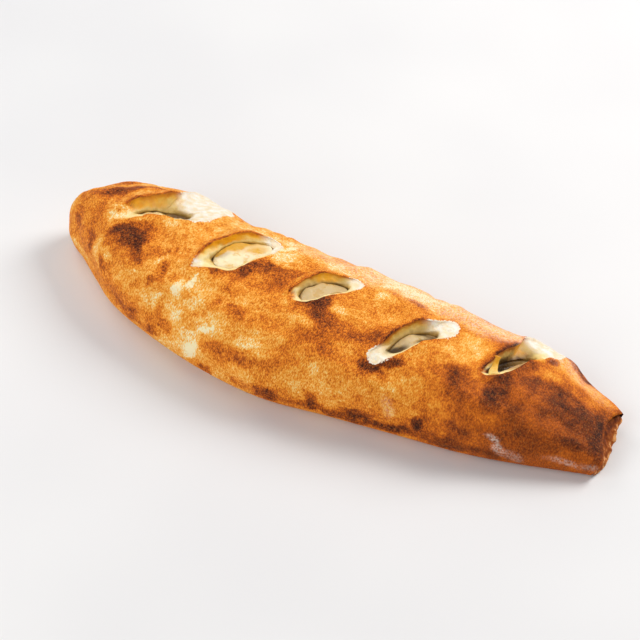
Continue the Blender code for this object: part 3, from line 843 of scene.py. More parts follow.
@dataclass
class Crust:
    """The baked dough: its skin, its slashes, its torn end and its lining."""

    form: LogForm = field(default_factory=LogForm)
    slashes: tuple[Slash, ...] = SLASHES
    thickness: float = 0.0052
    cell: float = 0.0013
    rows: int = 204
    ratio: int = 3
    dome_rings: int = 12
    dome_stations: float = 2.0
    cavity_from: float = -0.163
    cavity_to: float = 0.168
    cavity_cap: float = 0.004
    cap_middle: float = 0.6
    skin_rings: int = 11
    cut_rings: int = 16
    back_reach: float = 0.0066
    front_reach: float = 0.0040
    crisp_reach: float = 0.0020
    crumb_reach: float = 0.0012
    lining_shares: tuple[float, ...] = (0.85, 0.43)
    steep_cut: Knots = ((0.0, 0.0), (0.08, 0.0011), (0.35, 0.0025), (0.70, 0.0038), (1.0, 0.0048))
    gentle_cut: Knots = ((0.0, 0.0), (0.10, 0.0005), (0.45, 0.0012), (0.82, 0.0020), (1.0, 0.0048))
    steep_over: float = 0.4
    shallow_ends: float = 0.6
    moat: float = 0.0003
    least_foot: float = 0.42
    crisp_front: float = 0.25
    crisp_over: float = 0.15
    crisp_even: float = 0.8
    crisp_patchy: float = 0.4
    swells: Waves = Waves(0.0009, 9, 0.014, 0.045, 11)
    swell_from: float = 0.006
    swell_over: float = 0.010
    dents: Lumps = Lumps(0.00045, 0.0100, 21)
    pocks: Lumps = Lumps(0.00018, 0.0030, 22)
    ragged: Lumps = Lumps(0.0006, 0.0032, 23)
    waver: Lumps = Lumps(0.14, 0.0075, 27)
    crumb: Lumps = Lumps(0.00045, 0.0019, 24)
    warp: Lumps = Lumps(0.0026, 0.0062, 25)
    warp_apart: float = 0.5
    cut_warp: float = 0.25
    end_trim: Knots = (
        (0, -0.0005), (0.06, -0.0015), (0.13, -0.0034), (0.2, -0.003), (0.26, -0.0005), (0.32, 0.002),
        (0.38, 0.0005), (0.44, -0.001), (0.5, -0.0026), (0.57, -0.0026), (0.62, -0.0008), (0.67, 0.003),
        (0.71, 0.0038), (0.76, 0.0025), (0.84, 0.0008), (1, -0.0005),
    )
    trim_from: float = 0.168
    trim_over: float = 0.019
    tip_share: float = 0.69
    tip_wide: float = 0.07
    tip_lift: float = 0.0030
    tip_aside: float = 0.4
    torn_edge: Knots = (
        (0.1836, 0, 0.003), (0.1842, 0.0052, 0.0009), (0.1846, 0.01, 0.0011), (0.1838, 0.0165, 0.0022),
        (0.183, 0.0233, 0.0037), (0.1832, 0.0282, 0.0051), (0.1812, 0.0317, 0.0065),
        (0.1808, 0.0354, 0.0075), (0.1801, 0.0395, 0.0087), (0.1793, 0.0424, 0.0092),
    )
    torn_steps: Knots = (
        (0.015, 0.0003), (0.03, 0.0012), (0.06, 0.0024), (0.1, 0.003), (0.16, 0.0029), (0.25, 0.0024),
        (0.36, 0.0018), (0.48, 0.0013), (0.6, 0.0009), (0.72, 0.0006), (0.84, 0.0003), (0.94, 0.0001),
        (1, 0),
    )
    torn_thick: float = 0.0004
    torn_floor: float = 0.0003
    torn_under: float = 0.04
    torn_rag: Lumps = Lumps(0.0010, 0.0040, 26)
    torn_grain: Lumps = Lumps(0.0007, 0.0024, 28)

    @cached_property
    def stations(self) -> Array:
        """The stations of the grid's columns, closer together in the rounded end."""
        dome = np.linspace(0.0, self.dome_stations, self.dome_rings + 1)[1:]
        start = float(self.form.outline_at(np.array(self.dome_stations))[0])
        end = self.form.stations[-1][0]
        count = self.ratio * round((end - start) / self.cell / self.ratio)
        return np.concatenate([dome, self.form.station_of(np.linspace(start, end, count + 1)[1:])])

    @cached_property
    def cuttings(self) -> tuple[Cutting, ...]:
        """The windows of the slashes."""
        columns = self.form.outline_at(self.stations)[:, 0]
        return tuple(Cutting(s, self.form, columns, self.rows, self.ratio) for s in self.slashes)

    def relief(self, place: Array) -> Array:
        """Gives the height of the swells, dents and pocks at places on the plain skin."""
        above = smooth((place[..., 2] - self.swell_from) / self.swell_over)
        return above * (self.swells.at(place) + self.dents.at(place) + self.pocks.at(place))

    def trimmed(self, points: Array, t: Array, share: Array) -> Array:
        """Draws the end of the skin in and out, and lifts its back corner to a tip.

        Args:
            points: Points of the skin.
            t: Their stations.
            share: Their shares of the way round.

        Returns:
            The points, moved by the trim at their share, eased in over the last of the log.
        """
        knots, trim = np.array(self.end_trim).T
        eased = smooth((self.form.outline_at(t)[..., 0] - self.trim_from) / self.trim_over)
        tip = np.exp(-(((share - self.tip_share) / self.tip_wide) ** 2))
        moves = [np.interp(share, knots, trim), self.tip_aside * self.tip_lift * tip, self.tip_lift * tip]
        return points + eased[..., None] * np.stack(moves, axis=-1)

    def baked(self, t: Array, share: Array, depth: Reading, lip: Reading = 0.0) -> Array:
        """Gives points in the crust, at a depth below its swollen and raised skin.

        The relief and the lip's rise fade with depth, down to none at the lining.

        Args:
            t: Station numbers.
            share: Shares of the way round.
            depth: Depths below the skin.
            lip: How far the skin is raised there.

        Returns:
            The points.
        """
        x = self.form.outline_at(t)[..., 0]
        across = self.form.across_of(share)
        hills = MM * np.sum([hill.cover(x, across) for hill in HILLS], axis=0)
        risen = self.relief(self.form.skin(t, share, 0.0)) * smooth(t / self.dome_stations) + hills + lip
        points = self.form.skin(t, share, depth - risen * (1.0 - depth / self.thickness))
        return self.trimmed(points, t, share)

    def toasted(self, x: Array, across: Array, place: Array) -> dict[str, Array]:
        """Paints the marks, with their edges warped by lumps.

        Args:
            x: Places along the log.
            across: Distances round the skin from the top line.
            place: The same places in space.

        Returns:
            For each kind of mark, 1 less the product of what each mark leaves bare.
        """
        shift = np.array([self.warp.at(place), self.warp.at(place + self.warp_apart)])
        painted = {}
        for kind, marks in MARKS.items():
            along, aside = np.array([x, across]) + shift * (1.0 if kind in ON_SKIN else self.cut_warp)
            painted[kind.value] = 1.0 - np.prod([1.0 - mark.cover(along, aside) for mark in marks], axis=0)
        return painted

    def lay(self, body: Surface, place: Array, depth: Reading, lip: Array, **masks: Reading) -> Array:
        """Adds points of the baked crust that lie round a slash.

        Args:
            body: The surface to add them to.
            place: Their x and across.
            depth: Depths below the raised skin.
            lip: How far the skin is raised.
            masks: Their masks.

        Returns:
            The corners' numbers.
        """
        x, across = place
        points = self.baked(self.form.station_of(x), self.form.share_of(across), depth, lip)
        return body.add(points, **self.toasted(x, across, points), **masks)

    def skin(self, body: Surface) -> Array:
        """Adds the skin, with the slashes' windows left open, and the rounded tip.

        Args:
            body: The crust's surface.

        Returns:
            The numbers of the grid's corners, along and round.
        """
        t, j = np.meshgrid(self.stations, np.arange(self.rows), indexing="ij")
        share = j / self.rows
        points = self.baked(t, share, 0.0)
        x = self.form.outline_at(t)[..., 0]
        corners = body.add(points, **self.toasted(x, self.form.across_of(share), points))
        windows = [cut.cells((len(self.stations) - 1, self.rows)) for cut in self.cuttings]
        body.wrap(corners, ~np.logical_or.reduce(windows))
        body.close(corners[0], self.form.skin(np.zeros(1), 0.0, 0.0)[0])
        return corners

    def lining(self, body: Surface, depth: float, reach: float) -> Array:
        """Adds a coarse grid at a depth inside, closed by a low round cap at each end.

        Args:
            body: The surface to add it to.
            depth: How deep it lies.
            reach: How far each cap stands out.

        Returns:
            The numbers of the grid's corners, along and round.
        """
        step = self.ratio
        stations = self.stations[::step]
        t, j = np.meshgrid(stations, np.arange(0, self.rows, step), indexing="ij")
        points = self.form.skin(t, j / self.rows, depth)
        corners = body.add(points)
        x = self.form.outline_at(stations)[:, 0]
        first = int(np.argmax(x > self.cavity_from))
        last = int(np.argmax(x > self.cavity_to)) - 1
        kept = np.zeros((len(stations) - 1, self.rows // step), bool)
        kept[first:last] = True
        for cut in self.cuttings:
            kept &= ~cut.cells((len(self.stations) - 1, self.rows))[::step, ::step][: len(kept)]
        body.wrap(corners, kept)
        for end, forward in ((first, -reach), (last, reach)):
            centre = points[end].mean(axis=0)
            push = np.array([forward, 0.0, 0.0])
            inner = centre + (points[end] - centre) * self.cap_middle
            middle = body.add(inner + push * (1.0 - self.cap_middle**2))
            body.wrap(np.stack([corners[end], middle]))
            body.close(middle, centre + push)
        return corners

    def tear(self, body: Surface, ring: Array) -> None:
        """Closes the pinched end with a torn face that slants out to a ragged edge.

        Each ring is blended from the skin's last ring to the torn edge, and under the
        upper skin it is set back, which makes a crease.

        Args:
            body: The crust's surface.
            ring: The last ring of the skin.
        """
        going, back = np.array(self.torn_steps).T[..., None]
        share = np.broadcast_to(np.arange(self.rows) / self.rows, (len(going), self.rows))
        start = self.baked(np.full(share.shape, len(self.form.stations) - 1.0), share, 0.0)
        edge = curve(self.torn_edge, 2.0 * np.abs((share + 0.25) % 1.0 - 0.5))
        upper = smooth((0.25 - np.abs(share - 0.5)) / self.torn_under)
        points = start + (edge - start) * going[..., None]
        rag = self.torn_rag.at(edge) * going + self.torn_grain.at(points) * going * (2.0 - going)
        points[..., 0] += rag - back * upper
        points[..., 1] += 0.5 * rag
        points[..., 2] += self.torn_thick * going**8 * (2.0 * upper - 1.0)
        points[..., 2] = np.maximum(points[..., 2], self.torn_floor)
        rings = body.add(points, torn=np.sqrt(going))
        body.wrap(np.concatenate([ring[None], rings]))
        body.zip_up(rings[-1])

    def raise_lips(self, body: Surface, cut: Cutting, lips: Array, height: Array) -> Array:
        """Adds the rings of skin from a window's rim up to the slash's lips.

        The lips' rise falls off as the bell curve of the distance to the lip.

        Args:
            body: The crust's surface.
            cut: The slash's window.
            lips: The lips' x and across.
            height: How high the lips stand.

        Returns:
            The corners' numbers.
        """
        q = (np.arange(1, self.skin_rings) / self.skin_rings)[:, None]
        place = blend(cut.rim, lips, q)
        away = np.hypot(*(lips - cut.rim)) * (1.0 - q)
        reach = np.where(cut.back, self.back_reach, self.front_reach)
        fall = np.exp(-((away / reach) ** 2)) * smooth(2.0 * q)
        crisp = np.exp(-((away / self.crisp_reach) ** 2)) * self.crispness(cut)
        crumbs = np.exp(-((away / self.crumb_reach) ** 2)) * cut.slash.white(*place)
        return self.lay(body, place, 0.0, height * fall, crisp=crisp, crumbs=crumbs)

    def cut_dough(self, body: Surface, cut: Cutting, lips: Array, height: Array) -> Array:
        """Adds the rings of cut dough from a slash's lips down to its hole.

        The wall behind is steep and the dough in front gentle, each read off its own
        knots by g, the share of the way, and both less deep at the slash's ends.

        Args:
            body: The crust's surface.
            cut: The slash's window.
            lips: The lips' x and across.
            height: How high the lips stand.

        Returns:
            The corners' numbers.
        """
        g = (np.arange(self.cut_rings + 1) / self.cut_rings)[:, None]
        place = blend(lips, cut.hole_at, g)
        steep = cut.back * smooth((1.0 - cut.ends) / self.steep_over)
        behind, before = (np.interp(g, *np.array(knots).T) for knots in (self.steep_cut, self.gentle_cut))
        depth = behind * steep + before * (1.0 - steep)
        depth = depth * np.where(g < 1.0, 1.0 - self.shallow_ends * cut.ends**3, 1.0)
        level = cut.slash.level(cut.lips[0] + (cut.hole[0] - cut.lips[0]) * g)
        foot = (level + self.moat + height) / (self.thickness + height)
        depth = depth * np.clip(foot, self.least_foot, 1.0)
        depth = depth - self.crumb.at(self.form.under(*place, depth)) * np.sin(math.pi * g)
        white = cut.slash.white(*place)
        # The shade mask carries the slash's painted shade to its cut dough.
        masks = {"cut": g, "wall": steep, "shade": cut.slash.shade, "crisp": self.crispness(cut)}
        return self.lay(body, place, depth, height, milky=white, crumbs=white, **masks)

    def slit(self, body: Surface, cut: Cutting, outer: Array, inner: Array) -> None:
        """Makes one slash: its raised lips, its cut dough and the lining under them.

        The lips are pushed in and out by lumps, which fade at the slash's tips.

        Args:
            body: The crust's surface.
            cut: The slash's window.
            outer: The corners of the skin's grid.
            inner: The corners of the lining's grid.
        """
        push = self.ragged.at(cut.lip_line) * np.clip(1.0 - cut.ends, 0.0, 1.0) ** 0.25
        lips = cut.slash.place(cut.lips[0], cut.lips[1] + push)
        height = cut.lips[2] * (1.0 + self.waver.at(cut.lip_line))
        around = self.raise_lips(body, cut, lips, height)
        cuts = self.cut_dough(body, cut, lips, height)
        depths = self.lining_shares, self.thickness
        under = self.line_window(body, cut, *depths, cut=1.0, wall=1.0, shade=cut.slash.shade)
        body.wrap(np.concatenate([outer[cut.i, cut.j][None], around, cuts, under]))
        body.step_down(under[-1], cut.coarse_rim(inner))

    def line_window(
        self, body: Surface, window: Cutting, shares: tuple[float, ...], depth: float, **masks: Reading
    ) -> Array:
        """Adds rings inside, under a window, at shares of the way from its rim to the hole."""
        place = blend(window.rim, window.hole_at, np.array(shares)[:, None])
        return body.add(self.form.under(*place, depth), **masks)

    def crispness(self, cut: Cutting) -> Array:
        """Says how brown the lips' edge is: mostly the back one's, where it isn't white.

        Args:
            cut: The slash's window.

        Returns:
            The brownness round the ring, patchy by the same lumps as the lips' height.
        """
        x, across = cut.slash.place(*cut.lips[:2])
        patchy = self.crisp_even + self.waver.at(cut.lip_line) / self.waver.height * self.crisp_patchy
        side = np.where(cut.back, 1.0, self.crisp_front) * smooth((1.0 - cut.ends) / self.crisp_over)
        return side * patchy * (1.0 - cut.slash.white(x, across))

    def build(self, finish: bpy.types.Material) -> bpy.types.Object:
        """Makes the crust, which stands for the crust's solid.

        Args:
            finish: The baked dough.

        Returns:
            The piece.
        """
        body = Surface()
        outer = self.skin(body)
        inner = self.lining(body, self.thickness, self.cavity_cap)
        self.tear(body, outer[-1])
        for cut in self.cuttings:
            self.slit(body, cut, outer, inner)
        piece = body.finish("baked_crust", finish)
        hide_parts("crust")
        return piece


@dataclass
class Filling:
    """The melted cheese, which runs through the log and swells up in the slashes."""

    crust: Crust
    slack: float = 0.0004
    cap: float = 0.003
    rings: int = 14
    snug: float = 0.994
    dome: float = 500.0
    pit: float = 14.0
    lumps: Lumps = Lumps(0.0012, 0.0062, 41)
    strings: Lumps = Lumps(0.0004, 0.0026, 42)
    front_rise: float = 0.0004
    front_oil: float = 0.35
    deep_from: float = 0.003
    deep_over: float = 0.007

    def mound(self, body: Surface, cut: Cutting, skin: Array) -> None:
        """Makes the cheese under one slash, up to a ridge along its hole's middle.

        From the hole's edge inwards the cheese rises as 1 less the kept share of the
        width to a high power, so that it is steep at the edge and flat in the middle.

        Args:
            body: The filling's surface.
            cut: The slash's window.
            skin: The corners of the filling's coarse grid.
        """
        form = self.crust.form
        base = self.crust.thickness + self.slack
        under = self.crust.line_window(body, cut, self.crust.lining_shares[::-1], base)
        front, back = (np.moveaxis(cut.slash.hole(side, cut.share), -1, 0) for side in Side)
        inward = np.linspace(1.0, 0.0, self.rings) ** 0.5
        kept = np.concatenate([[1.0], self.snug * inward])[:, None]
        along, aside = blend((front + back) / 2.0, cut.hole, kept)
        x, across = cut.slash.place(along, aside)
        level = (1.0 - kept**self.dome) * (1.0 - cut.ends**self.pit)
        deep = cut.slash.level(along)
        rise = (base - deep) * level
        lean = self.front_rise * np.where(cut.back, -1.0, 1.0) * kept * level
        plain = form.under(x, across, base)
        lumps = (self.lumps.at(plain) + self.strings.at(plain)) * level
        points = form.under(x, across, base - rise - lean - lumps)
        # The shade and deep masks carry painted shade: the slash's shadow and the cheese's depth.
        masks = {
            "oil": kept**2 * np.where(cut.back, 1.0, self.front_oil),
            "deep": smooth((deep - self.deep_from) / self.deep_over),
            "shade": cut.slash.shade,
        }
        rings = body.add(points, **masks, **self.crust.toasted(x, across, points))
        ridge = rings[-1, : len(cut.share) // 2 + 1]
        folded = np.concatenate([ridge, ridge[-2:0:-1]])
        body.wrap(np.concatenate([under, rings[:-1], folded[None]]))
        body.step_down(under[0], cut.coarse_rim(skin))

    def build(self, finish: bpy.types.Material) -> bpy.types.Object:
        """Makes the filling, which stands for the filling's solid.

        Args:
            finish: The melted cheese.

        Returns:
            The piece.
        """
        body = Surface()
        skin = self.crust.lining(body, self.crust.thickness + self.slack, self.cap)
        for cut in self.crust.cuttings:
            self.mound(body, cut, skin)
        piece = body.finish("melted_cheese", finish)
        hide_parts("filling")
        return piece


@dataclass
class Bridge:
    """A web of dough left across the fifth slash, from its back lip to its front lip.

    Its line holds along, aside and depth by that slash, in millimetres.
    """

    crust: Crust
    number: int = 4
    line: Knots = (
        (-18, 4.4, -1.4), (-19.3, 3.6, -0.7), (-20.6, 2.6, 0.5), (-22.4, 1.1, 1.3), (-25, -1, 1),
        (-27.4, -3.4, -0.2), (-29, -5.4, -0.6),
    )
    wide: float = 0.0025
    thick: float = 0.0009
    flare: float = 0.40
    pale_back: float = 0.13
    pale_front: float = 0.4
    rumple: Lumps = Lumps(0.0004, 0.0028, 51)
    steps: int = 34
    sides: int = 24

    def build(self, finish: bpy.types.Material) -> bpy.types.Object:
        """Makes the web: a flat oval carried along a curve, wider at both ends.

        Args:
            finish: The baked dough.

        Returns:
            The piece.
        """
        going = np.linspace(0.0, 1.0, self.steps)
        along, aside, depth = MM * curve(self.line, going).T
        x, across = self.crust.slashes[self.number].place(along, aside)
        form = self.crust.form
        path = self.crust.baked(form.station_of(x), form.share_of(across), depth)
        forward = np.gradient(path, axis=0)
        forward /= np.linalg.norm(forward, axis=1, keepdims=True)
        side = np.cross(forward, [0.0, 0.0, 1.0])
        side /= np.linalg.norm(side, axis=1, keepdims=True)
        up = np.cross(side, forward)
        angle = np.linspace(0.0, 2.0 * math.pi, self.sides, endpoint=False)
        swell = (1.0 + self.flare * np.linspace(-1.0, 1.0, self.steps) ** 4)[:, None, None]
        wide = np.cos(angle)[None, :, None] * side[:, None] * self.wide
        thick = np.sin(angle)[None, :, None] * up[:, None] * self.thick
        points = path[:, None] + swell * (wide + thick)
        points = points + self.rumple.at(points)[..., None] * up[:, None]
        body = Surface()
        rings = body.add(points, cut=self.pale_back + self.pale_front * going[:, None] ** 1.5, wall=1.0)
        body.wrap(rings)
        body.close(rings[0], path[0] - forward[0] * self.thick)
        body.close(rings[-1], path[-1] + forward[-1] * self.thick)
        return body.finish("dough_bridge", finish)


@dataclass(frozen=True)
class Grain:
    """One use of the soft patches, in metres: their size and the levels for 0 and 1."""

    size: float
    low: float
    high: float
    detail: float = 2.0
    squeeze: tuple[float, float, float] | None = None


class NodeWeb:
    """A node tree, with short ways to add its nodes and to join them."""

    MIX_FACTOR = 0
    MIX_FIRST = 6
    MIX_SECOND = 7
    MIX_RESULT = 2

    def __init__(self, tree: bpy.types.NodeTree, soft: bpy.types.NodeTree | None = None) -> None:
        """Takes the tree, and the group of soft patches that it may use."""
        self.tree = tree
        self.soft = soft

    def dress(self, node: bpy.types.Node, inputs: Inputs) -> None:
        """Joins or sets a node's inputs.

        Args:
            node: The node.
            inputs: For each input by name or number, a socket to join or a value.
        """
        for name, value in inputs.items():
            if isinstance(value, Socket):
                self.tree.links.new(value, node.inputs[name])
            else:
                node.inputs[name].default_value = value

    def node(self, kind: str, inputs: Inputs | None = None, **settings: object) -> bpy.types.Node:
        """Adds a node.

        Args:
            kind: Its type.
            inputs: What its inputs are joined to or set to.
            settings: Its own settings.

        Returns:
            The node.
        """
        made = self.tree.nodes.new(kind)
        for name, value in settings.items():
            setattr(made, name, value)
        self.dress(made, inputs or {})
        return made

    def math(self, operation: str, first: object, second: object) -> Socket:
        """Works out a sum on two numbers."""
        return self.node("ShaderNodeMath", {0: first, 1: second}, operation=operation).outputs[0]

    def times(self, first: object, second: object) -> Socket:
        """Multiplies two numbers."""
        return self.math("MULTIPLY", first, second)

    def less(self, first: object, second: object) -> Socket:
        """Takes the second number from the first."""
        return self.math("SUBTRACT", first, second)

    def more(self, first: object, second: object) -> Socket:
        """Gives the larger of two numbers."""
        return self.math("MAXIMUM", first, second)

    def add(self, value: Socket, mask: Socket, amount: float) -> Socket:
        """Adds a mask, times an amount, to a value."""
        made = self.node("ShaderNodeMath", {0: mask, 1: amount, 2: value}, operation="MULTIPLY_ADD")
        return made.outputs[0]

    def between(self, value: Socket, low: object, high: object) -> Socket:
        """Eases a value from 0 at low to 1 at high."""
        inputs = {"Value": value, "From Min": low, "From Max": high}
        return self.node("ShaderNodeMapRange", inputs, interpolation_type="SMOOTHSTEP").outputs[0]

    def mix(self, share: object, first: object, second: object) -> Socket:
        """Mixes two colours and returns the result."""
        inputs = {self.MIX_FACTOR: share, self.MIX_FIRST: first, self.MIX_SECOND: second}
        return self.node("ShaderNodeMix", inputs, data_type="RGBA").outputs[self.MIX_RESULT]

    def ramp(self, value: Socket, colours: Stops) -> Socket:
        """Reads a colour off a row of stops.

        Args:
            value: Where to read it, from 0 to 1.
            colours: The stops.

        Returns:
            The colour.
        """
        made = self.node("ShaderNodeValToRGB", {0: value})
        elements = made.color_ramp.elements
        while len(elements) < len(colours):
            elements.new(0.5)
        for element, (at, colour) in zip(elements, colours):
            element.position = at
            element.color = colour
        return made.outputs[0]

    def mask(self, name: str) -> Socket:
        """Reads one of the piece's painted masks."""
        made = self.node("ShaderNodeAttribute", attribute_name=name, attribute_type="GEOMETRY")
        return made.outputs["Fac"]

    def patches(self, grain: Grain) -> Socket:
        """Places the group of soft patches on the piece's own coordinates.

        Args:
            grain: The patches' size, levels, detail, and any scale for each axis.

        Returns:
            The mask.
        """
        place = self.node("ShaderNodeTexCoord").outputs["Object"]
        if grain.squeeze:
            place = self.node("ShaderNodeMapping", {"Vector": place, "Scale": grain.squeeze}).outputs[0]
        levels = {"Low": grain.low, "High": grain.high}
        inputs = {"Place": place, "Size": grain.size, "Detail": grain.detail, **levels}
        return self.node("ShaderNodeGroup", inputs, node_tree=self.soft).outputs["Patches"]

    def bump(self, height: Socket, strength: float, distance: float) -> Socket:
        """Turns a height into a bumpy normal."""
        inputs = {"Strength": strength, "Distance": distance, "Height": height}
        return self.node("ShaderNodeBump", inputs).outputs[0]

    def ripple(self, grain: Grain) -> Socket:
        """Gives soft patches that run from -0.5 to 0.5."""
        return self.less(self.patches(grain), 0.5)


def soft_patches() -> bpy.types.NodeTree:
    """Makes the node group of soft patches: noise of one size, eased between two levels.

    Returns:
        The group, with Place, Size, Detail, Low and High going in and Patches coming out.
    """
    tree = bpy.data.node_groups.new("soft patches", "ShaderNodeTree")
    tree.interface.new_socket("Place", in_out="INPUT", socket_type="NodeSocketVector")
    for label, value in (("Size", 0.01), ("Detail", 2.0), ("Low", 0.35), ("High", 0.65)):
        number = tree.interface.new_socket(label, in_out="INPUT", socket_type="NodeSocketFloat")
        number.default_value = value
    tree.interface.new_socket("Patches", in_out="OUTPUT", socket_type="NodeSocketFloat")
    web = NodeWeb(tree)
    given = web.node("NodeGroupInput").outputs
    scale = web.math("DIVIDE", 1.0, given["Size"])
    inputs = {"Vector": given["Place"], "Scale": scale, "Detail": given["Detail"]}
    noise = web.node("ShaderNodeTexNoise", inputs, noise_dimensions="3D").outputs[0]
    web.node("NodeGroupOutput", {0: web.between(noise, given["Low"], given["High"])})
    return tree


@dataclass(frozen=True)
class Finish:
    """A material with a name, made from a shader and the masks and patches behind it."""

    patches: bpy.types.NodeTree
    name: str

    def inputs(self, web: NodeWeb) -> Inputs:
        """Gives what the shader's inputs are joined to or set to."""
        raise NotImplementedError

    def build(self) -> bpy.types.Material:
        """Makes the material, whose shader has the finish's inputs.

        Returns:
            The material.
        """
        made = bpy.data.materials.new(self.name)
        made.use_nodes = True
        web = NodeWeb(made.node_tree, self.patches)
        web.dress(made.node_tree.nodes["Principled BSDF"], self.inputs(web))
        return made


@dataclass(frozen=True)
class BakedDough(Finish):
    """The crust's finish: browned dough outside, cream dough where it is cut, with painted shade and
    painted sheen in places.
    """

    name: str = "baked dough"
    browning: Stops = stops(
        (0.0, 255, 238, 192), (0.14, 255, 200, 106), (0.3, 248, 162, 54), (0.46, 228, 126, 32),
        (0.62, 186, 91, 20), (0.8, 125, 57, 12), (1.0, 62, 25, 6),
    )
    # The cut wall as lit: it darkens towards the hole (1) as painted shade.
    lit_wall: Stops = stops(
        (0.0, 150, 70, 20), (0.06, 222, 134, 30), (0.2, 246, 178, 54), (0.42, 250, 212, 120),
        (0.72, 244, 216, 146), (0.9, 226, 192, 112), (1.0, 206, 166, 88),
    )
    # The same wall in painted shade, for slashes in shadow, darker still towards the hole.
    shaded: Stops = stops(
        (0.0, 124, 58, 20), (0.06, 190, 116, 44), (0.2, 212, 168, 90), (0.45, 204, 170, 100),
        (0.7, 178, 142, 82), (0.9, 128, 96, 52), (1.0, 84, 58, 30),
    )
    # The gentle front of the cut, darkening towards the hole as painted shade.
    front: Stops = stops(
        (0.0, 212, 122, 42), (0.08, 246, 186, 92), (0.22, 254, 224, 152), (0.6, 254, 232, 172),
        (0.88, 232, 200, 124), (1.0, 196, 156, 88),
    )
    # The torn face: painted shade in the crease under the upper skin, browned dough, and a painted
    # highlight along the outer edge.
    tear: Stops = stops(
        (0.0, 78, 34, 12), (0.16, 40, 16, 6), (0.36, 70, 30, 10), (0.52, 112, 50, 14),
        (0.72, 146, 71, 20), (0.9, 174, 92, 34), (1.0, 226, 158, 96),
    )
    milk: Colour = paint(255, 253, 245)
    cream: Colour = paint(245, 220, 174)
    crumb: Colour = paint(252, 240, 216)
    # Flour, and the painted sheen along the back of the top.
    flour: Colour = paint(250, 232, 218)
    fleck: Colour = paint(214, 142, 74)
    gold: Colour = paint(246, 168, 30)
    # Painted shade for the cut dough's pits and gaps.
    hollow: Colour = paint(58, 38, 18)
    stain: Colour = paint(206, 116, 26)
    brown: float = 0.33
    right_x: Span = (-0.06, 0.16)
    browner_right: float = 0.16
    # Browner towards the front of the right half: partly browning, partly painted shade.
    front_x: Span = (0.03, 0.15)
    front_y: Span = (0.015, -0.03)
    front_browning_and_shade: float = 0.06
    end_x: Span = (0.070, 0.140)
    browner_end: float = 0.13
    even_x: Span = (0.105, 0.155)
    even_y: Span = (0.03, 0.0)
    evened: float = 0.55
    clouds: tuple[tuple[Grain, float], ...] = (
        (Grain(0.024, 0.30, 0.70, 4.0), 0.14),
        (Grain(0.0095, 0.28, 0.72, 4.0), 0.17),
        (Grain(0.0042, 0.26, 0.74, 4.0), 0.12),
        (Grain(0.0019, 0.30, 0.70, 4.0), 0.09),
        (Grain(0.0010, 0.32, 0.68, 4.0), 0.07),
    )
    fibres: Grain = Grain(0.0006, 0.34, 0.66, 3.0, (1.0, 0.45, 0.45))
    fibred: float = 0.30
    calm_x: Span = (0.05, 0.13)
    calmed: float = 0.5
    char: Grain = Grain(0.0022, 0.15, 0.65, 3.0)
    charred: float = 0.24
    scorched: float = 0.35
    crisped: float = 0.42
    paled: float = -0.38
    flecks: Grain = Grain(0.0008, 0.55, 0.70)
    flecked_from: Span = (0.45, 0.8)
    flecked: float = 0.28
    dust_and_sheen_grain: Grain = Grain(0.0012, 0.30, 0.72, 4.0)
    dusted_and_sheened: float = 0.9
    crumbs: Grain = Grain(0.0011, 0.3, 0.7, 4.0)
    crumbled: float = 0.7
    crumbs_from: Span = (0.8, 1.0)
    wander: Grain = Grain(0.0036, 0.3, 0.7)
    wandered: float = 0.16
    wander_from: Span = (0.0, 0.2)
    oil: Grain = Grain(0.0060, 0.22, 0.55)
    oiled_to: Span = (0.95, 0.55)
    stains: Grain = Grain(0.0070, 0.52, 0.70)
    stained: float = 0.3
    stained_to: Span = (0.9, 0.5)
    hollow_shade_from: Span = (0.25, 0.7)
    curds: Grain = Grain(0.0042, 0.28, 0.72, 4.0)
    curdled: float = 0.9
    milky_to: Span = (0.99, 0.84)
    opened_from: Span = (0.0, 0.08)
    fray: Grain = Grain(0.0030, 0.25, 0.75, 3.0)
    frayed: float = -0.5
    frayed_from: Span = (0.3, 0.6)
    torn_from: Span = (0.0, 0.06)
    cut_from: Span = (0.0, 0.03)
    bumps: Grain = Grain(0.0034, 0.2, 0.8, 3.0)
    pores: Grain = Grain(0.0011, 0.2, 0.8, 3.0)
    pore_share: float = 0.6
    crumble: Grain = Grain(0.0024, 0.3, 0.7, 4.0)
    crumble_share: float = 0.8
    smooth_from: Span = (0.0, 0.1)
    smoothed: float = 0.5
    relief: float = 0.8
    relief_height: float = 0.0005
    rough: float = 0.66
    wet_from: Span = (0.0, 0.12)
    wetter: float = 0.28

    def brownness(self, web: NodeWeb) -> Socket:
        """Makes how brown the skin is, from 0 for pale dough to 1 for scorched.

        Args:
            web: The material's nodes.

        Returns:
            A level that rises along the log, with the marks and patches added.
        """
        place = web.node("ShaderNodeTexCoord").outputs["Object"]
        axes = web.node("ShaderNodeSeparateXYZ", {0: place}).outputs
        level = web.times(web.between(axes["X"], *self.right_x), self.browner_right)
        level = web.math("ADD", level, self.brown)
        # The front of the right half: partly browning, partly painted shade.
        front = web.times(web.between(axes["X"], *self.front_x), web.between(axes["Y"], *self.front_y))
        level = web.add(level, front, self.front_browning_and_shade)
        level = web.add(level, web.between(axes["X"], *self.end_x), self.browner_end)
        even = web.times(web.between(axes["X"], *self.even_x), web.between(axes["Y"], *self.even_y))
        even = web.less(1.0, web.times(even, self.evened))
        for grain, amount in self.clouds:
            level = web.add(level, web.times(web.ripple(grain), even), amount)
        fibres = web.ripple(self.fibres)
        calm = web.less(1.0, web.times(web.between(axes["X"], *self.calm_x), self.calmed))
        level = web.add(level, web.times(fibres, calm), self.fibred)
        level = web.add(level, web.times(web.mask("scorch"), web.patches(self.char)), self.charred)
        level = web.add(level, web.mask("scorch"), self.scorched)
        level = web.add(level, web.times(web.mask("crisp"), web.less(1.0, web.mask("pale"))), self.crisped)
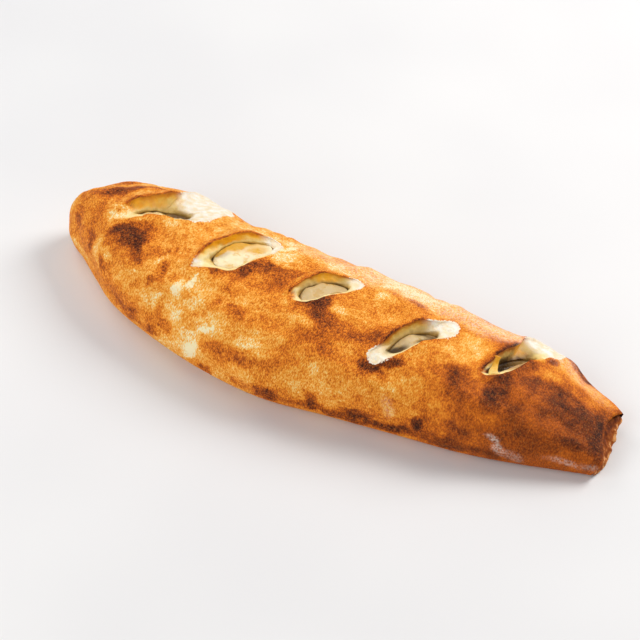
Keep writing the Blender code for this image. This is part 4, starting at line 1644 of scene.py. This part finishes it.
        # The pale mask lightens the skin: pale dough, and painted sheen along the back of the top.
        level = web.add(level, web.mask("pale"), self.paled)
        return web.more(web.math("MINIMUM", level, 1.0), 0.0)

    def skin(self, web: NodeWeb) -> Socket:
        """Makes the colour of the skin: its browning, with flecks, flour and painted sheen, and crumbs.

        Args:
            web: The material's nodes.

        Returns:
            The colour.
        """
        brown = self.brownness(web)
        flecks = web.times(web.patches(self.flecks), web.between(brown, *self.flecked_from))
        colour = web.mix(web.times(flecks, self.flecked), web.ramp(brown, self.browning), self.fleck)
        # Flour dust, and painted sheen on the back of the top.
        dusted_and_sheened = web.times(web.mask("flour"), web.patches(self.dust_and_sheen_grain))
        colour = web.mix(web.times(dusted_and_sheened, self.dusted_and_sheened), colour, self.flour)
        crumbs = web.add(web.mask("crumbs"), web.patches(self.crumbs), self.crumbled)
        return web.mix(web.between(crumbs, *self.crumbs_from), colour, self.crumb)

    def inside(self, web: NodeWeb, cut: Socket) -> Socket:
        """Makes the colour of the cut dough, from the lip to the hole.

        Args:
            web: The material's nodes.
            cut: The share of the way from the lip to the hole.

        Returns:
            The wall's and the front's colours, with painted shade towards the hole, in shaded slashes and
            in hollows, and with oil, stains and white.
        """
        wander = web.times(web.ripple(self.wander), web.between(cut, *self.wander_from))
        shifted = web.more(web.add(cut, wander, self.wandered), 0.0)
        # The shade mask mixes the lit wall with its painted-shade copy.
        wall = web.mix(web.mask("shade"), web.ramp(shifted, self.lit_wall), web.ramp(shifted, self.shaded))
        oily = web.times(web.patches(self.oil), web.between(cut, *self.oiled_to))
        gilt = web.times(web.mask("gold"), oily)
        wall = web.mix(gilt, wall, self.gold)
        stained = web.times(web.patches(self.stains), web.between(cut, *self.stained_to))
        wall = web.mix(web.times(stained, self.stained), wall, self.stain)
        colour = web.mix(web.mask("wall"), web.ramp(shifted, self.front), wall)
        # Painted shade in the hollows, stronger down the cut.
        hollow = web.times(web.mask("hollow"), web.between(cut, *self.hollow_shade_from))
        colour = web.mix(hollow, colour, self.hollow)
        milky = web.times(web.mask("milky"), web.between(cut, *self.milky_to))
        milky = web.more(milky, web.mask("milk"))
        opened = web.more(web.between(cut, *self.opened_from), web.mask("crumbs"))
        curds = web.mix(web.times(web.patches(self.curds), self.curdled), self.milk, self.cream)
        return web.mix(web.times(milky, opened), colour, curds)

    def bump(self, web: NodeWeb, cut: Socket) -> Socket:
        """Gives the skin its fine grain and the cut dough its softer one.

        Args:
            web: The material's nodes.
            cut: The share of the way from the lip to the hole.

        Returns:
            The normal.
        """
        height = web.add(web.patches(self.bumps), web.patches(self.pores), self.pore_share)
        calm = web.less(1.0, web.times(web.between(cut, *self.smooth_from), self.smoothed))
        height = web.times(height, calm)
        crumbly = web.times(web.mask("milky"), web.patches(self.crumble))
        height = web.add(height, crumbly, self.crumble_share)
        return web.bump(height, self.relief, self.relief_height)

    def inputs(self, web: NodeWeb) -> Inputs:
        """Gives browned skin and, where the piece is torn or cut, the dough inside.

        Args:
            web: The material's nodes.

        Returns:
            What the shader's inputs are joined to or set to.
        """
        cut = web.mask("cut")
        torn = web.mask("torn")
        frays = web.times(web.ripple(self.fray), web.between(torn, *self.frayed_from))
        # The torn face's colour, with its painted crease shade and painted edge highlight.
        tear = web.ramp(web.add(torn, frays, self.frayed), self.tear)
        colour = web.mix(web.between(torn, *self.torn_from), self.skin(web), tear)
        laid_open = web.times(web.between(cut, *self.cut_from), web.less(1.0, web.mask("baked")))
        wet = web.more(web.between(cut, *self.wet_from), web.mask("milky"))
        return {
            "Base Color": web.mix(laid_open, colour, self.inside(web, cut)),
            "Roughness": web.less(self.rough, web.times(wet, self.wetter)),
            "Normal": self.bump(web, cut),
            "Specular IOR Level": 0.20,
            "Subsurface Weight": 0.06,
            "Subsurface Radius": (1.0, 0.45, 0.15),
            "Subsurface Scale": 0.002,
        }


@dataclass(frozen=True)
class MeltedCheese(Finish):
    """The filling's finish: pale cheese, yellower where oil gathers, and glossy, with painted shade in
    shaded slashes, where it lies deep and in hollows.
    """

    name: str = "melted cheese"
    pale: Colour = paint(254, 240, 200)
    yellow: Colour = paint(232, 176, 70)
    # Painted shade: the cheese of a slash in shadow.
    shaded_olive: Colour = paint(196, 158, 96)
    # Painted shade: the cheese where it lies deep in its slash.
    dark: Colour = paint(120, 82, 40)
    # Painted shade for the cheese's hollows.
    hollow: Colour = paint(52, 34, 16)
    oil: Grain = Grain(0.0055, 0.48, 0.70, 3.0)
    oiled_edge: float = 0.5
    oiled: float = 0.6
    shaded: float = 0.85
    deepened: float = 0.75
    bumps: Grain = Grain(0.0022, 0.2, 0.8, 3.0)
    relief: float = 0.4
    relief_height: float = 0.0005
    rough: float = 0.32
    oil_gloss: float = 0.1

    def inputs(self, web: NodeWeb) -> Inputs:
        """Gives pale cheese with oily patches and edges, painted shade, and a thin wet coat.

        Args:
            web: The material's nodes.

        Returns:
            What the shader's inputs are joined to or set to.
        """
        oily = web.patches(self.oil)
        edge = web.times(web.mask("oil"), self.oiled_edge)
        edge = web.math("ADD", edge, web.times(oily, self.oiled))
        edge = web.math("MINIMUM", web.math("ADD", edge, web.mask("gold")), 1.0)
        colour = web.mix(edge, self.pale, self.yellow)
        # Painted shade: olive in shaded slashes, dark where the cheese lies deep.
        colour = web.mix(web.times(web.mask("shade"), self.shaded), colour, self.shaded_olive)
        colour = web.mix(web.times(web.mask("deep"), self.deepened), colour, self.dark)
        return {
            "Base Color": web.mix(web.mask("hollow"), colour, self.hollow),
            "Roughness": web.less(self.rough, web.times(oily, self.oil_gloss)),
            "Normal": web.bump(web.patches(self.bumps), self.relief, self.relief_height),
            "Subsurface Weight": 0.25,
            "Subsurface Radius": (1.0, 0.7, 0.35),
            "Subsurface Scale": 0.003,
            "Coat Weight": 0.25,
            "Coat Roughness": 0.18,
        }


@dataclass(frozen=True)
class PaleFloor(Finish):
    """The floor's finish: a pale matt surface, a little uneven."""

    name: str = "pale floor"
    light: Colour = paint(238, 238, 239)
    dark: Colour = paint(231, 231, 233)
    cloud: Grain = Grain(0.25, 0.3, 0.7)

    def inputs(self, web: NodeWeb) -> Inputs:
        """Gives a pale colour with wide faint clouds."""
        return {"Base Color": web.mix(web.patches(self.cloud), self.light, self.dark), "Roughness": 0.55}


@dataclass(frozen=True)
class Softbox:
    """A square light that points at the middle of the log."""

    name: str
    place: tuple[float, float, float]
    size: float
    power: float
    colour: tuple[float, float, float]

    def build(self) -> bpy.types.Object:
        """Makes the light and turns it to the log.

        Returns:
            The light.
        """
        data = bpy.data.lights.new(self.name, "AREA")
        data.size = self.size
        data.energy = self.power
        data.color = self.colour
        light = stand(self.name, data)
        light.location = self.place
        light.rotation_euler = (-Vector(self.place)).to_track_quat("-Z", "Y").to_euler()
        return light


@dataclass
class Studio:
    """The camera, the lights and the pale floor."""

    distance: float = 0.971
    pitch: float = 43.64
    turn: float = 32.0
    roll: float = 0.52
    aim: tuple[float, float, float] = (-0.0114, 0.0257, 0.0)
    lens: float = 90.0
    sensor: float = 36.0
    clip_start: float = 0.05
    floor_reach: float = 3.0
    sky: Colour = (0.97, 0.98, 1.0, 1.0)
    sky_strength: float = 0.30
    lights: tuple[Softbox, ...] = (
        Softbox("key", (0.62, 1.05, 1.10), 0.85, 20.5, (1.0, 0.97, 0.93)),
        Softbox("side", (-1.15, 0.35, 0.95), 0.9, 5.4, (1.0, 1.0, 1.0)),
        Softbox("fill", (-0.45, -1.25, 0.85), 1.2, 11.8, (1.0, 0.98, 0.95)),
    )

    def camera(self) -> bpy.types.Object:
        """Makes the camera: turned round the log, raised to its pitch, then rolled.

        Returns:
            The camera, which is the scene's.
        """
        turn, pitch, roll = (math.radians(angle) for angle in (self.turn, self.pitch, self.roll))
        level = Vector((math.sin(turn), -math.cos(turn), 0.0))
        back = level * math.cos(pitch) + Vector((0.0, 0.0, math.sin(pitch)))
        right = Vector((math.cos(turn), math.sin(turn), 0.0))
        up = back.cross(right)
        rolled = right * math.cos(roll) + up * math.sin(roll)
        upright = up * math.cos(roll) - right * math.sin(roll)
        data = bpy.data.cameras.new("camera")
        data.lens = self.lens
        data.sensor_width = self.sensor
        data.clip_start = self.clip_start
        made = stand("camera", data)
        facing = Matrix((rolled, upright, back)).transposed().to_4x4()
        made.matrix_world = Matrix.Translation(Vector(self.aim) + back * self.distance) @ facing
        bpy.context.scene.camera = made
        return made

    def floor(self, finish: bpy.types.Material) -> bpy.types.Object:
        """Makes the floor, a wide flat sheet that the log rests on.

        Args:
            finish: Its material.

        Returns:
            The floor.
        """
        reach = self.floor_reach
        corners = [(-reach, -reach, 0.0), (reach, -reach, 0.0), (reach, reach, 0.0), (-reach, reach, 0.0)]
        data = bpy.data.meshes.new("floor")
        data.from_pydata(corners, [], [(0, 1, 2, 3)])
        data.materials.append(finish)
        made = stand("floor", data)
        return made

    def build(self, finish: bpy.types.Material) -> None:
        """Makes the camera, the floor, the lights and an even pale sky.

        Args:
            finish: The floor's material.
        """
        self.camera()
        self.floor(finish)
        for light in self.lights:
            light.build()
        world = bpy.data.worlds.new("pale sky")
        world.use_nodes = True
        sky = world.node_tree.nodes["Background"].inputs
        sky["Color"].default_value = self.sky
        sky["Strength"].default_value = self.sky_strength
        bpy.context.scene.world = world
        bpy.context.scene.view_settings.view_transform = "Standard"


def report(piece: bpy.types.Object) -> None:
    """Reports a piece's name and its number of triangles through logging."""
    triangles = sum(len(face.vertices) - 2 for face in piece.data.polygons)
    LOG.info("%s: %d triangles", piece.name, triangles)


def main() -> None:
    """Builds the studio, then the log's pieces in order, and reports each."""
    logging.basicConfig(level=logging.INFO, format="%(name)s %(message)s")
    patches = soft_patches()
    Studio().build(PaleFloor(patches).build())
    crust = Crust()
    dough = BakedDough(patches).build()
    report(crust.build(dough))
    report(Filling(crust).build(MeltedCheese(patches).build()))
    report(Bridge(crust).build(dough))


if __name__ == "__main__":
    main()
